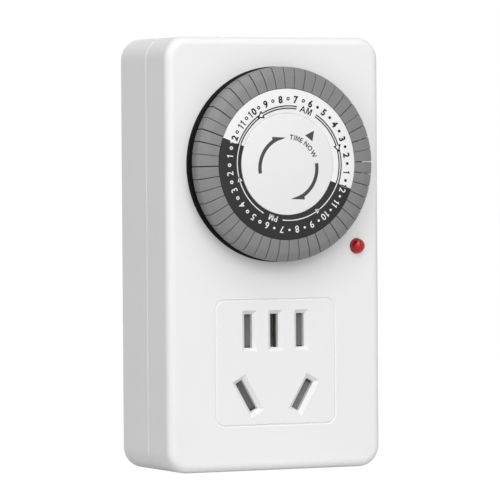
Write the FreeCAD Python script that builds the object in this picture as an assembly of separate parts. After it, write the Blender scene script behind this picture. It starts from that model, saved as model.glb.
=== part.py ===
import FreeCAD, Part
import math
import os

# Plug-in segment timer switch.
# X runs to the right seen from the front, Z up, Y towards the wall.
# The origin is on the rear face, on the axis of the three plug blades.
# A height is measured from the front face outwards, so Y = face_y - height.

# Case
body_width = 52.0
body_height = 95.4
body_depth = 25.2
body_bottom_z = -20.5
corner_radius = 4.8
front_edge_radius = 1.8
rear_edge_radius = 1.0
wall = 2.0
rear_shell_depth = 14.2
seam_chamfer = 0.25
lip_height = 1.2
lip_thickness = 0.9
lip_clearance = 0.1

# Case screws
screw_inset = 6.0
screw_boss_radius = 3.4
screw_shank_radius = 1.05
screw_head_radius = 2.3
screw_head_height = 1.8
screw_recess = 6.0
screw_length = 14.0
screw_clearance = 0.3
screw_cross_length = 3.0
screw_cross_width = 0.6
screw_cross_depth = 0.8
thread_clearance = 0.05

# Dial
dial_center_z = 46.95
tappet_count = 48
hour_count = 24
seven_mark_angle = 6.3
dial_hole_clearance = 0.25
tappet_outer_radius = 21.1
tappet_ring_width = 4.5
tappet_bevel_width = 1.4
tappet_height = 6.3
tappet_bevel_drop = 0.5
tappet_edge_inset = 0.12
tappet_edge_drop = 0.2
tappet_skirt_height = 2.2
tappet_skirt_thickness = 0.7
tappet_top_thickness = 1.5
tappet_gap_angle = 0.4
tappet_travel = 2.0
tappet_clearance = 0.2
stem_inset = 1.0
stem_thickness = 1.2
stem_width = 1.2
stem_tip_width = 0.5
stem_tip_taper = 0.8
stem_clearance = 0.15
foot_height = -1.0
wheel_rim_thickness = 0.8
wheel_flange_thickness = 2.0
wheel_drum_wall = 1.2
wheel_plate_thickness = 1.4
wheel_rim_depth = 1.8
wheel_shelf_thickness = 1.5
wheel_step_clearance = 0.2
face_ring_clearance = 0.25
face_ring_width = 4.95
face_ring_thickness = 0.3
face_ring_height = 6.2
cap_gap = 0.3
cap_height = 6.4
cap_thickness = 1.2
cap_edge_chamfer = 0.15
cap_boss_radius = 4.2
cap_boss_depth = 0.4
cap_recess_clearance = 0.6
axial_play = 0.2
running_clearance = 0.05

# Shaft of the dial
post_radius = 3.0
post_collar_radius = 4.4
post_collar_thickness = 1.4
post_spigot_radius = 1.6
post_spigot_length = 0.9
post_foot_radius = 1.8
hub_wall = 1.55
hub_shoulder = 1.9

# Gear train
gear_module = 0.4
pressure_angle = 25.0
addendum_factor = 0.8
dedendum_factor = 1.1
tooth_backlash = 0.1
dial_teeth = 72
idler_pinion_teeth = 12
idler_gear_teeth = 40
motor_pinion_teeth = 10
dial_gear_thickness = 2.0
dial_gear_depth = 3.2
hub_tail = 3.0
idler_gear_thickness = 1.4
gear_layer_gap = 0.4
idler_direction = 60.0
motor_direction = 228.0
idler_axle_radius = 0.8
idler_collar_radius = 1.5
idler_end_play = 0.1
motor_shaft_radius = 1.0
retainer_width = 0.6
retainer_play = 0.05
retainer_thickness = 0.3
gear_window_count = 6
gear_window_radius = 2.4
gear_window_distance = 9.4

# Gear deck
deck_thickness = 1.5
deck_side_gap = 1.5
deck_bottom_z = 31.0
deck_top_z = 64.4
deck_post_inset = 2.0
deck_post_low_z = 33.5
deck_post_high_z = 61.5
deck_post_radius = 2.2
deck_screw_radius = 1.0
deck_screw_head_radius = 1.8
deck_screw_head_height = 1.2
deck_screw_length = 5.5
deck_tongue_width = 7.0
deck_tongue_margin = 3.0
screw_hole_clearance = 0.1

# Motor
motor_radius = 15.0
motor_rear_gap = 2.0
motor_wall = 0.8
motor_cover_thickness = 0.8
motor_bush_radius = 2.4
motor_bush_height = 1.0
motor_ear_distance = 17.5
motor_ear_radius = 2.4
motor_ear_angle = 135.0
motor_ear_thickness = 1.0
motor_ear_root = 0.86
motor_screw_radius = 0.9
motor_screw_head_radius = 1.7
motor_screw_head_height = 1.0
motor_screw_length = 2.3
bobbin_inner_radius = 8.6
bobbin_wall = 0.6
bobbin_flange = 0.8
bobbin_clearance = 0.6
coil_clearance = 0.1
coil_margin = 0.5
rotor_radius = 7.6
rotor_end_gap = 1.0
rotor_pin_radius = 0.75
rotor_pin_boss_radius = 1.8
rotor_pin_boss_height = 0.8

# Switch lever
nose_width = 0.7
nose_tip_width = 0.3
nose_tip_gap = 0.6
nose_height = 1.6
nose_taper = 0.5
lever_pivot_z = 19.5
lever_pivot_inset = 1.2
lever_swing = 9.0
lever_foot_below = 0.6
lever_foot_above = 0.9
lever_width = 6.0
lever_thickness = 1.2
lever_hub_radius = 1.1
lever_pin_radius = 0.6
lever_feet_gap = 0.4
lug_thickness = 1.6
lug_gap = 0.2
lug_wall = 1.0

# Microswitch
switch_width = 13.0
switch_height = 6.5
switch_depth = 6.0
switch_center_z = 25.0
switch_wall = 0.8
switch_lever_clearance = 0.15
plunger_radius = 0.7
plunger_lever_gap = 0.15
plunger_blade_gap = 0.3
blade_thickness = 0.3
blade_width = 2.6
blade_depth = 1.4
blade_anchor_gap = 0.15
blade_end_gap = 0.6
terminal_x = 5.05
terminal_thickness = 0.5
terminal_width = 2.0
terminal_length = 4.0
switch_pedestal_width = 5.0
switch_pedestal_margin = 0.5
terminal_clearance = 0.05
terminal_inner_reach = 0.4
button_radius = 0.8
button_inset = 0.9
button_height = 0.5

# Socket face
slot_width = 1.9
slot_length = 7.4
slot_funnel = 0.85
slot_throat_depth = 0.9
two_pin_spacing = 12.7
blade_circle_radius = 7.92
blade_slant = 30.0
earth_slot_z = 10.31
panel_half_width = 14.6
panel_bottom_z = -10.45
panel_top_z = 17.15
panel_corner_radius = 2.0
panel_groove_half_width = 0.3
panel_groove_depth = 0.26

# Plug blades
blade_pin_width = 6.4
blade_pin_thickness = 1.5
line_blade_length = 18.0
earth_blade_length = 21.0
blade_tip_chamfer = 0.5
blade_hole_clearance = 0.1
blade_flange_margin = 1.2
blade_flange_thickness = 1.0
blade_rivet_radius = 1.6
rivet_clearance = 0.1

# Contact holder
holder_half_width = 17.2
holder_bottom_z = -12.0
holder_top_z = 17.3
holder_back_wall = 1.6
holder_rail = 1.5
holder_end_rail = 1.2
holder_front_gap = 1.8
contact_thickness = 0.6
clip_half_mouth = 2.0
clip_pinch = 0.65
clip_height = 5.6
clip_length = 13.4
clip_clearance = 0.4
clip_flare = 0.7
clip_pinch_depth = 2.6
clip_leaf_width = 0.4
clip_tip_rise = 0.1
clip_end_room = 0.5
strip_half_width = 1.5
strip_shift = 0.4
feed_width = 4.0
feed_sink = 0.2
feed_tab_gap = 0.6
live_bend_gap = 1.2
live_bend_width = 2.0

# Shutters
shutter_travel = 3.0
shutter_thickness = 0.85
shutter_gap = 0.05
shutter_rail_gap = 0.15
shutter_left = -14.2
shutter_right = 11.2
shutter_divider_z = 4.0
shutter_divider_width = 1.4
shutter_window_clearance = 0.3
ramp_height = 0.8
ramp_half_width = 1.0
ramp_land = 0.5
ramp_root = 0.2

# Lamp
lamp_inset = 5.86
lamp_z = 28.7
lamp_radius = 1.65
lamp_clearance = 0.1
lamp_height = 1.95
lamp_body_depth = 4.0
lamp_flange_radius = 2.05
lamp_flange_gap = 0.1
lamp_flange_thickness = 1.0
board_thickness = 1.0
board_width = 7.0
board_bottom_z = 22.5
board_top_z = 30.6
board_post_radius = 1.1
board_post_inset = 0.4
resistor_radius = 0.9
resistor_length = 3.4
resistor_drop = 2.0
resistor_sink = 0.1

# Derived places
face_y = -body_depth
seam_y = -rear_shell_depth
front_inner_y = face_y + wall
rear_inner_y = -wall
body_top_z = body_bottom_z + body_height
screw_x = body_width / 2.0 - screw_inset
screw_low_z = body_bottom_z + screw_inset
screw_high_z = body_top_z - screw_inset
lamp_x = body_width / 2.0 - lamp_inset
deck_half_width = body_width / 2.0 - wall - deck_side_gap
deck_post_x = deck_half_width - deck_post_inset
dial_hole_radius = tappet_outer_radius + dial_hole_clearance
tappet_bevel_radius = tappet_outer_radius - tappet_bevel_width
tappet_inner_radius = tappet_outer_radius - tappet_ring_width
stem_inner_radius = tappet_inner_radius + stem_inset
face_ring_outer_radius = tappet_inner_radius - face_ring_clearance
face_ring_inner_radius = face_ring_outer_radius - face_ring_width
cap_radius = face_ring_inner_radius - cap_gap
step_angle = 360.0 / tappet_count
hour_angle = 360.0 / hour_count
stem_outer_radius = stem_inner_radius + stem_thickness
stem_mid_radius = stem_inner_radius + stem_thickness / 2.0
wheel_rim_radius = tappet_outer_radius - tappet_skirt_thickness - tappet_clearance
wheel_flange_height = tappet_height - tappet_top_thickness - tappet_travel - tappet_clearance
wheel_top_height = face_ring_height - face_ring_thickness
wheel_drum_radius = tappet_inner_radius - tappet_clearance
cap_under_height = cap_height - cap_thickness
wheel_plate_height = cap_under_height - cap_recess_clearance
hub_bore_radius = post_radius + running_clearance
hub_radius = hub_bore_radius + hub_wall
hub_end_height = -(dial_gear_depth + hub_tail)
deck_height = hub_end_height - axial_play / 2.0 - post_collar_thickness
deck_front_y = face_y - deck_height
deck_back_y = deck_front_y + deck_thickness
dial_gear_front_y = face_y + dial_gear_depth
dial_gear_back_y = dial_gear_front_y + dial_gear_thickness
idler_gear_front_y = dial_gear_back_y + gear_layer_gap
idler_gear_back_y = idler_gear_front_y + idler_gear_thickness
first_distance = gear_module * (dial_teeth + idler_pinion_teeth) / 2.0
second_distance = gear_module * (idler_gear_teeth + motor_pinion_teeth) / 2.0
idler_x = first_distance * math.cos(math.radians(idler_direction))
idler_z = dial_center_z + first_distance * math.sin(math.radians(idler_direction))
motor_x = idler_x + second_distance * math.cos(math.radians(motor_direction))
motor_z = idler_z + second_distance * math.sin(math.radians(motor_direction))
motor_back_y = rear_inner_y - motor_rear_gap - motor_cover_thickness
foot_tip_y = face_y - foot_height
pushed_tip_y = foot_tip_y + tappet_travel
nose_tip_y = foot_tip_y + nose_tip_gap
lever_front_y = pushed_tip_y + lever_feet_gap
lever_back_y = lever_front_y + lever_thickness
lever_pivot_y = front_inner_y + lever_pivot_inset
lever_top_z = dial_center_z - stem_mid_radius + nose_height / 2.0
switch_top_reach = switch_center_z + switch_height / 2.0 - lever_pivot_z
lever_sweep = switch_top_reach * math.sin(math.radians(lever_swing))
switch_front_y = lever_back_y + lever_sweep + switch_lever_clearance
switch_back_y = switch_front_y + switch_depth
line_slot_x = blade_circle_radius * math.cos(math.radians(blade_slant))
line_slot_z = -blade_circle_radius * math.sin(math.radians(blade_slant))
two_pin_x = two_pin_spacing / 2.0
flange_front_y = rear_inner_y - blade_flange_thickness
holder_back_y = flange_front_y
strip_back_y = holder_back_y - holder_back_wall
strip_front_y = strip_back_y - contact_thickness
holder_front_y = front_inner_y + holder_front_gap
shutter_back_y = holder_front_y - shutter_gap
shutter_front_y = shutter_back_y - shutter_thickness
board_front_y = face_y + wall + lamp_body_depth

# Tappet border nearest to six o'clock, where the lever's nose stands
border_steps = round((180.0 - seven_mark_angle) / step_angle)
nose_angle = seven_mark_angle + border_steps * step_angle
nose_x = stem_mid_radius * math.sin(math.radians(nose_angle))
nose_z = dial_center_z + stem_mid_radius * math.cos(math.radians(nose_angle))

AXIS_Y = FreeCAD.Vector(0, 1, 0)


def vec(x, y, z):
    return FreeCAD.Vector(x, y, z)


def box(x0, x1, y0, y1, z0, z1):
    return Part.makeBox(x1 - x0, y1 - y0, z1 - z0, vec(x0, y0, z0))


def rod(radius, x, z, y0, y1):
    """Round bar along Y."""
    return Part.makeCylinder(radius, y1 - y0, vec(x, y0, z), AXIS_Y)


def tube(inner, outer, x, z, y0, y1):
    return rod(outer, x, z, y0, y1).cut(rod(inner, x, z, y0, y1))


def prism(points, shift):
    """Closed outline of points, carried along the vector shift."""
    return Part.Face(Part.makePolygon(points + [points[0]])).extrude(shift)


def rounded_outline(half_width, z0, z1, radius, y, center_x=0.0):
    """Rectangle with round corners in a plane of constant Y."""
    x0 = center_x - half_width
    x1 = center_x + half_width
    edges = []
    corners = [(x1, z1, 1, 1), (x0, z1, -1, 1), (x0, z0, -1, -1), (x1, z0, 1, -1)]
    for index, (x, z, sx, sz) in enumerate(corners):
        cx = x - sx * radius
        cz = z - sz * radius
        start = math.radians(90.0 * index)
        points = []
        for part in range(3):
            angle = start + math.radians(45.0 * part)
            points.append(vec(cx + radius * math.cos(angle), y, cz + radius * math.sin(angle)))
        edges.append((Part.Arc(*points).toShape(), points[0], points[2]))
    loop = []
    for index, (arc, first, last) in enumerate(edges):
        loop.append(arc)
        loop.append(Part.makeLine(last, edges[(index + 1) % 4][1]))
    return Part.Wire(loop)


def rounded_block(half_width, z0, z1, radius, y0, y1):
    wire = rounded_outline(half_width, z0, z1, radius, y0)
    return Part.Face(wire).extrude(vec(0, y1 - y0, 0))


def shell_block(inset, y0, y1):
    """The case's outline, drawn in by inset on every side."""
    return rounded_block(
        body_width / 2.0 - inset,
        body_bottom_z + inset,
        body_top_z - inset,
        corner_radius - inset,
        y0,
        y1,
    )


def edges_on_plane(solid, y):
    """Edges that lie in the plane of this Y."""
    found = []
    for edge in solid.Edges:
        bounds = edge.BoundBox
        if abs(bounds.YMin - y) < 1e-4 and abs(bounds.YMax - y) < 1e-4:
            found.append(edge)
    return found


def turned(points, x, z):
    """Profile of (radius, height) points, turned about an axis along Y."""
    corners = [vec(x + radius, face_y - height, z) for radius, height in points]
    face = Part.Face(Part.makePolygon(corners + [corners[0]]))
    return face.revolve(vec(x, 0, z), AXIS_Y, 360)


def case_screw_places():
    places = []
    for x in (-screw_x, screw_x):
        for z in (screw_low_z, screw_high_z):
            places.append((x, z))
    return places


def deck_post_places():
    places = []
    for x in (-deck_post_x, deck_post_x):
        for z in (deck_post_low_z, deck_post_high_z):
            places.append((x, z))
    return places


def motor_ear_places():
    places = []
    for turn in (0.0, 180.0):
        angle = math.radians(motor_ear_angle + turn)
        x = motor_x + motor_ear_distance * math.cos(angle)
        z = motor_z + motor_ear_distance * math.sin(angle)
        places.append((x, z))
    return places


def slot_places():
    """Centre and slant of the five slots; slant is from upright, in degrees."""
    return {
        "two_pin_left": (-two_pin_x, earth_slot_z, 0.0),
        "earth": (0.0, earth_slot_z, 0.0),
        "two_pin_right": (two_pin_x, earth_slot_z, 0.0),
        "line_left": (-line_slot_x, line_slot_z, -blade_slant),
        "line_right": (line_slot_x, line_slot_z, blade_slant),
    }


def slanted_rectangle(place, width, length, y):
    """Rectangle of a slot's outline in a plane of constant Y."""
    x, z, slant = place
    along = math.radians(slant)
    points = []
    for side, end in ((-1, -1), (1, -1), (1, 1), (-1, 1)):
        across = side * width / 2.0
        down = end * length / 2.0
        px = x + across * math.cos(along) + down * math.sin(along)
        pz = z - across * math.sin(along) + down * math.cos(along)
        points.append(vec(px, y, pz))
    return points


def slot_prism(place, margin, y0, y1):
    points = slanted_rectangle(place, slot_width + 2 * margin, slot_length + 2 * margin, y0)
    return prism(points, vec(0, y1 - y0, 0))


def slot_funnel_cut(place):
    """Slot through the front wall with its sloping mouth."""
    mouth = slanted_rectangle(
        place, slot_width + 2 * slot_funnel, slot_length + 2 * slot_funnel, face_y
    )
    throat = slanted_rectangle(place, slot_width, slot_length, face_y + slot_throat_depth)
    wires = [Part.makePolygon(mouth + [mouth[0]]), Part.makePolygon(throat + [throat[0]])]
    funnel = Part.makeLoft(wires, True, True)
    throat_y = face_y + slot_throat_depth / 2.0
    cutter = funnel.fuse(slot_prism(place, 0.0, throat_y, seam_y))
    return cutter.common(shell_block(0.0, face_y, front_inner_y))


def panel_ring(side):
    """Tapering block under the panel's outline, wide or narrow at the face."""
    shift = side * panel_groove_half_width
    wires = []
    for y, grow in ((face_y, shift), (face_y + panel_groove_depth, 0.0)):
        wires.append(
            rounded_outline(
                panel_half_width + grow,
                panel_bottom_z - grow,
                panel_top_z + grow,
                panel_corner_radius + grow,
                y,
            )
        )
    return Part.makeLoft(wires, True, True)


def front_housing():
    """Front shell with the dial's hole, the socket face and the inner posts."""
    shell = shell_block(0.0, face_y, seam_y)
    shell = shell.makeFillet(front_edge_radius, edges_on_plane(shell, face_y))
    shell = shell.makeChamfer(seam_chamfer, edges_on_plane(shell, seam_y))
    shell = shell.cut(shell_block(wall, front_inner_y, seam_y))
    rebate = lip_thickness + lip_clearance
    shell = shell.cut(shell_block(wall - rebate, seam_y - lip_height - lip_clearance, seam_y))
    added = []
    for x, z in case_screw_places():
        added.append(rod(screw_boss_radius, x, z, front_inner_y, seam_y))
    for x, z in deck_post_places():
        added.append(rod(deck_post_radius, x, z, front_inner_y, deck_front_y))
    added.append(rod(board_post_radius, lamp_x, board_post_z(), front_inner_y, board_front_y))
    for side in (-1, 1):
        added.append(lever_lug(side))
    shell = shell.fuse(added)
    cuts = [rod(dial_hole_radius, 0, dial_center_z, face_y, front_inner_y)]
    cuts.append(rod(lamp_radius + lamp_clearance, lamp_x, lamp_z, face_y, front_inner_y))
    for x, z in case_screw_places():
        pilot = screw_shank_radius + thread_clearance
        cuts.append(rod(pilot, x, z, front_inner_y, seam_y))
    for x, z in deck_post_places():
        pilot = deck_screw_radius + thread_clearance
        cuts.append(rod(pilot, x, z, front_inner_y, deck_front_y))
    for place in slot_places().values():
        cuts.append(slot_funnel_cut(place))
    cuts.append(panel_ring(1).cut(panel_ring(-1)))
    for cutter in cuts:
        shell = shell.cut(cutter)
    return shell


def board_post_z():
    return board_bottom_z + board_post_radius + board_post_inset


def lever_lug(side):
    """Ear on the front wall that carries one end of the lever's pin."""
    near = nose_x + side * (lever_width / 2.0 + lug_gap)
    far = near + side * lug_thickness
    x0 = min(near, far)
    x1 = max(near, far)
    reach = lever_pin_radius + lug_wall
    lug = box(
        x0, x1, front_inner_y, lever_pivot_y + reach, lever_pivot_z - reach, lever_pivot_z + reach
    )
    hole = Part.makeCylinder(
        lever_pin_radius + running_clearance,
        lug_thickness,
        vec(x0, lever_pivot_y, lever_pivot_z),
        vec(1, 0, 0),
    )
    return lug.cut(hole)


def rear_housing():
    """Rear shell with the locating lip, the screw bosses and the blades' holes."""
    shell = shell_block(0.0, seam_y, 0.0)
    shell = shell.makeFillet(rear_edge_radius, edges_on_plane(shell, 0.0))
    shell = shell.makeChamfer(seam_chamfer, edges_on_plane(shell, seam_y))
    shell = shell.cut(shell_block(wall, seam_y, rear_inner_y))
    lip = shell_block(wall - lip_thickness, seam_y - lip_height, seam_y)
    lip = lip.cut(shell_block(wall, seam_y - lip_height, seam_y))
    added = [lip, switch_pedestal()]
    for x, z in case_screw_places():
        added.append(rod(screw_boss_radius, x, z, seam_y, rear_inner_y))
    shell = shell.fuse(added)
    cuts = []
    for x, z in case_screw_places():
        bore = screw_shank_radius + screw_clearance
        recess = screw_head_radius + screw_clearance
        cuts.append(rod(bore, x, z, seam_y, 0))
        cuts.append(rod(recess, x, z, -screw_recess, 0))
    for name in ("earth", "line_left", "line_right"):
        place = slot_places()[name]
        points = slanted_rectangle(
            place,
            blade_pin_thickness + 2 * blade_hole_clearance,
            blade_pin_width + 2 * blade_hole_clearance,
            rear_inner_y,
        )
        cuts.append(prism(points, vec(0, wall, 0)))
    for cutter in cuts:
        shell = shell.cut(cutter)
    return shell


def switch_pedestal():
    """Pillar on the rear wall that the microswitch is pressed against."""
    half = switch_pedestal_width / 2.0
    low = switch_center_z - switch_height / 2.0 + switch_pedestal_margin
    high = switch_center_z + switch_height / 2.0 - switch_pedestal_margin
    return box(-half, half, switch_back_y, rear_inner_y, low, high)


def case_screws():
    """Four self-tapping screws, heads sunk in the rear shell."""
    screws = []
    seat = -screw_recess
    top = seat + screw_head_height
    for x, z in case_screw_places():
        head = rod(screw_head_radius, x, z, seat, top)
        shank = rod(screw_shank_radius, x, z, seat - screw_length, seat)
        screw = head.fuse(shank)
        for long_x in (True, False):
            half_x = (screw_cross_length if long_x else screw_cross_width) / 2.0
            half_z = (screw_cross_width if long_x else screw_cross_length) / 2.0
            groove = box(x - half_x, x + half_x, top - screw_cross_depth, 0, z - half_z, z + half_z)
            screw = screw.cut(groove)
        screws.append(screw)
    return Part.makeCompound(screws)


def dial_wheel():
    """Carrier that holds the tappets, with its hub on the post."""
    flange_top = wheel_flange_height
    flange_low = flange_top - wheel_flange_thickness
    drum_inner = wheel_drum_radius - wheel_drum_wall
    under_top = wheel_top_height - wheel_shelf_thickness
    plate_low = wheel_plate_height - wheel_plate_thickness
    step_radius = face_ring_inner_radius + wheel_step_clearance
    shoulder = hub_radius + hub_shoulder
    profile = [
        (hub_bore_radius, wheel_plate_height),
        (step_radius, wheel_plate_height),
        (step_radius, wheel_top_height),
        (wheel_drum_radius, wheel_top_height),
        (wheel_drum_radius, flange_top),
        (wheel_rim_radius, flange_top),
        (wheel_rim_radius, -wheel_rim_depth),
        (wheel_rim_radius - wheel_rim_thickness, -wheel_rim_depth),
        (wheel_rim_radius - wheel_rim_thickness, flange_low),
        (drum_inner, flange_low),
        (drum_inner, under_top),
        (step_radius + wheel_drum_wall, under_top),
        (step_radius + wheel_drum_wall, plate_low),
        (shoulder, plate_low),
        (shoulder, -dial_gear_depth),
        (hub_radius, -dial_gear_depth),
        (hub_radius, hub_end_height),
        (hub_bore_radius, hub_end_height),
    ]
    wheel = turned(profile, 0, dial_center_z)
    half_slot = stem_width / 2.0 + stem_clearance
    slots = []
    for index in range(tappet_count):
        angle = seven_mark_angle + (index + 0.5) * step_angle
        slot = box(
            -half_slot,
            half_slot,
            face_y - flange_top,
            face_y - flange_low,
            stem_inner_radius - stem_clearance,
            stem_outer_radius + stem_clearance,
        )
        slots.append(placed_on_dial(slot, angle))
    return wheel.cut(Part.makeCompound(slots))


def placed_on_dial(solid, clock_angle):
    """Turn a solid drawn above the origin to its clock angle and move it to the dial."""
    solid.rotate(vec(0, 0, 0), AXIS_Y, clock_angle)
    solid.translate(vec(0, 0, dial_center_z))
    return solid


def tappet(clock_angle):
    """One half-hour tappet, its middle at this clock angle."""
    top = tappet_height
    under = tappet_height - tappet_top_thickness
    skirt_inner = tappet_outer_radius - tappet_skirt_thickness
    profile = [
        (tappet_inner_radius, top),
        (tappet_bevel_radius, top),
        (tappet_outer_radius - tappet_edge_inset, top - tappet_bevel_drop),
        (tappet_outer_radius, top - tappet_bevel_drop - tappet_edge_drop),
        (tappet_outer_radius, tappet_skirt_height),
        (skirt_inner, tappet_skirt_height),
        (skirt_inner, under),
        (tappet_inner_radius, under),
    ]
    corners = [vec(0, face_y - height, radius) for radius, height in profile]
    face = Part.Face(Part.makePolygon(corners + [corners[0]]))
    sweep = step_angle - tappet_gap_angle
    face.rotate(vec(0, 0, 0), AXIS_Y, -sweep / 2.0)
    cap = face.revolve(vec(0, 0, 0), AXIS_Y, sweep)
    half = stem_width / 2.0
    tip = stem_tip_width / 2.0
    outline = [
        (-half, under),
        (half, under),
        (half, foot_height + stem_tip_taper),
        (tip, foot_height),
        (-tip, foot_height),
        (-half, foot_height + stem_tip_taper),
    ]
    points = [vec(x, face_y - height, stem_inner_radius) for x, height in outline]
    stem = prism(points, vec(0, 0, stem_thickness))
    return placed_on_dial(cap.fuse(stem), clock_angle)


def tappet_pair(hour):
    """The two tappets of one hour; hours run against the clock round the dial."""
    mark = seven_mark_angle - (hour - 7) * hour_angle
    pair = []
    for half in range(tappet_count // hour_count):
        pair.append(tappet(mark - (half + 0.5) * step_angle))
    return Part.makeCompound(pair)


def dial_face():
    """Printed ring laid on the front of the wheel."""
    back = face_y - wheel_top_height
    front = face_y - face_ring_height
    return tube(face_ring_inner_radius, face_ring_outer_radius, 0, dial_center_z, front, back)


def centre_cap():
    """Fixed cap that carries the pointer and keeps the dial on its post."""
    front = face_y - cap_height
    back = face_y - cap_under_height
    disc = rod(cap_radius, 0, dial_center_z, front, back)
    disc = disc.makeChamfer(cap_edge_chamfer, edges_on_plane(disc, front))
    boss = rod(cap_boss_radius, 0, dial_center_z, back, back + cap_boss_depth)
    socket = rod(
        post_spigot_radius + running_clearance,
        0,
        dial_center_z,
        back + cap_boss_depth - post_spigot_length - running_clearance,
        back + cap_boss_depth,
    )
    return disc.fuse(boss).cut(socket)


def dial_post():
    """Fixed post that the dial turns on, standing on the gear deck."""
    collar_front = deck_front_y - post_collar_thickness
    top = face_y - cap_under_height + cap_boss_depth
    post = rod(post_radius, 0, dial_center_z, top, collar_front)
    spigot = rod(post_spigot_radius, 0, dial_center_z, top - post_spigot_length, top)
    collar = rod(post_collar_radius, 0, dial_center_z, collar_front, deck_front_y)
    foot = rod(post_foot_radius, 0, dial_center_z, deck_front_y, deck_back_y)
    return post.fuse([spigot, collar, foot])


def involute_point(base_radius, radius, tooth_half_angle):
    """Angle of the tooth's flank from the tooth's middle at this radius."""
    cosine = min(1.0, base_radius / radius)
    pressure = math.acos(cosine)
    return tooth_half_angle - (math.tan(pressure) - pressure)


def gear(teeth, middle_angle, x, z, y0, y1, bore):
    """Spur gear along Y; middle_angle is the direction of one tooth's middle, from +X."""
    pitch_radius = gear_module * teeth / 2.0
    base_radius = pitch_radius * math.cos(math.radians(pressure_angle))
    tip_radius = pitch_radius + addendum_factor * gear_module
    root_radius = pitch_radius - dedendum_factor * gear_module
    half_thickness = (math.pi * gear_module / 2.0 - tooth_backlash) / 2.0
    pressure = math.radians(pressure_angle)
    half_angle = half_thickness / pitch_radius + math.tan(pressure) - pressure
    lowest = max(base_radius, root_radius)
    radii = [lowest + (tip_radius - lowest) * step / 3.0 for step in range(4)]
    points = []
    for tooth in range(teeth):
        middle = math.radians(middle_angle) + 2.0 * math.pi * tooth / teeth
        flank = [(radius, involute_point(base_radius, radius, half_angle)) for radius in radii]
        flank.insert(0, (root_radius, flank[0][1]))
        if lowest - root_radius < 0.01:
            flank.pop(0)
        for radius, spread in flank:
            points.append((radius, middle - spread))
        for radius, spread in reversed(flank):
            points.append((radius, middle + spread))
    corners = []
    for radius, angle in points:
        corners.append(vec(x + radius * math.cos(angle), y0, z + radius * math.sin(angle)))
    blank = prism(corners, vec(0, y1 - y0, 0))
    if bore:
        blank = blank.cut(rod(bore, x, z, y0, y1))
    return blank


def dial_gear():
    """Gear on the back of the wheel, seated on the hub's shoulder."""
    bore = hub_radius + running_clearance
    blank = gear(
        dial_teeth, idler_direction, 0, dial_center_z, dial_gear_front_y, dial_gear_back_y, bore
    )
    windows = []
    for index in range(gear_window_count):
        window = rod(gear_window_radius, 0, gear_window_distance, dial_gear_front_y, dial_gear_back_y)
        windows.append(placed_on_dial(window, 360.0 * index / gear_window_count))
    return blank.cut(Part.makeCompound(windows))


def idler_gear():
    """Compound wheel between the motor's pinion and the dial's gear."""
    bore = idler_axle_radius + running_clearance
    pinion_gap_angle = idler_direction + 180.0 + 180.0 / idler_pinion_teeth
    front = dial_gear_front_y
    step = idler_gear_front_y
    back = idler_gear_back_y
    pinion = gear(idler_pinion_teeth, pinion_gap_angle, idler_x, idler_z, front, step, bore)
    wheel = gear(idler_gear_teeth, motor_direction, idler_x, idler_z, step, back, bore)
    return pinion.fuse(wheel)


def idler_axle():
    """Fixed steel pin of the compound wheel, with its spacing collar."""
    collar_front = idler_gear_back_y + idler_end_play
    pin = rod(idler_axle_radius, idler_x, idler_z, dial_gear_front_y, deck_back_y)
    collar = rod(idler_collar_radius, idler_x, idler_z, collar_front, deck_front_y)
    return pin.fuse(collar)


def motor_pinion():
    """Output pinion of the motor with its shaft in the can's bush."""
    gap_angle = motor_direction + 180.0 + 180.0 / motor_pinion_teeth
    toothed = gear(
        motor_pinion_teeth, gap_angle, motor_x, motor_z, idler_gear_front_y, idler_gear_back_y, 0
    )
    inner = deck_back_y + motor_wall
    shaft = rod(motor_shaft_radius, motor_x, motor_z, idler_gear_back_y, inner)
    ring_front = inner + retainer_play
    ring_back = ring_front + retainer_thickness
    retainer = rod(motor_shaft_radius + retainer_width, motor_x, motor_z, ring_front, ring_back)
    neck = rod(motor_shaft_radius, motor_x, motor_z, inner, ring_front)
    return toothed.fuse([shaft, neck, retainer])


def gear_deck():
    """Plate behind the dial that carries the post, the axle and the motor."""
    plate = box(
        -deck_half_width, deck_half_width, deck_front_y, deck_back_y, deck_bottom_z, deck_top_z
    )
    ear_x, ear_z = motor_ear_places()[0]
    half = deck_tongue_width / 2.0
    tongue_top = ear_z + deck_tongue_margin
    tongue = box(ear_x - half, ear_x + half, deck_front_y, deck_back_y, deck_bottom_z, tongue_top)
    plate = plate.fuse(tongue)
    cuts = [rod(post_foot_radius + running_clearance, 0, dial_center_z, deck_front_y, deck_back_y)]
    cuts.append(
        rod(motor_bush_radius + running_clearance, motor_x, motor_z, deck_front_y, deck_back_y)
    )
    cuts.append(
        rod(idler_axle_radius + running_clearance, idler_x, idler_z, deck_front_y, deck_back_y)
    )
    for x, z in deck_post_places():
        bore = deck_screw_radius + screw_hole_clearance
        cuts.append(rod(bore, x, z, deck_front_y, deck_back_y))
    for x, z in motor_ear_places():
        cuts.append(rod(motor_screw_radius + running_clearance, x, z, deck_front_y, deck_back_y))
    return plate.cut(Part.makeCompound(cuts))


def deck_screws():
    """Four screws that hold the deck to the front shell's posts."""
    screws = []
    for x, z in deck_post_places():
        head = rod(
            deck_screw_head_radius, x, z, deck_back_y, deck_back_y + deck_screw_head_height
        )
        shank = rod(deck_screw_radius, x, z, deck_back_y - deck_screw_length, deck_back_y)
        screws.append(head.fuse(shank))
    return Part.makeCompound(screws)


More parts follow.
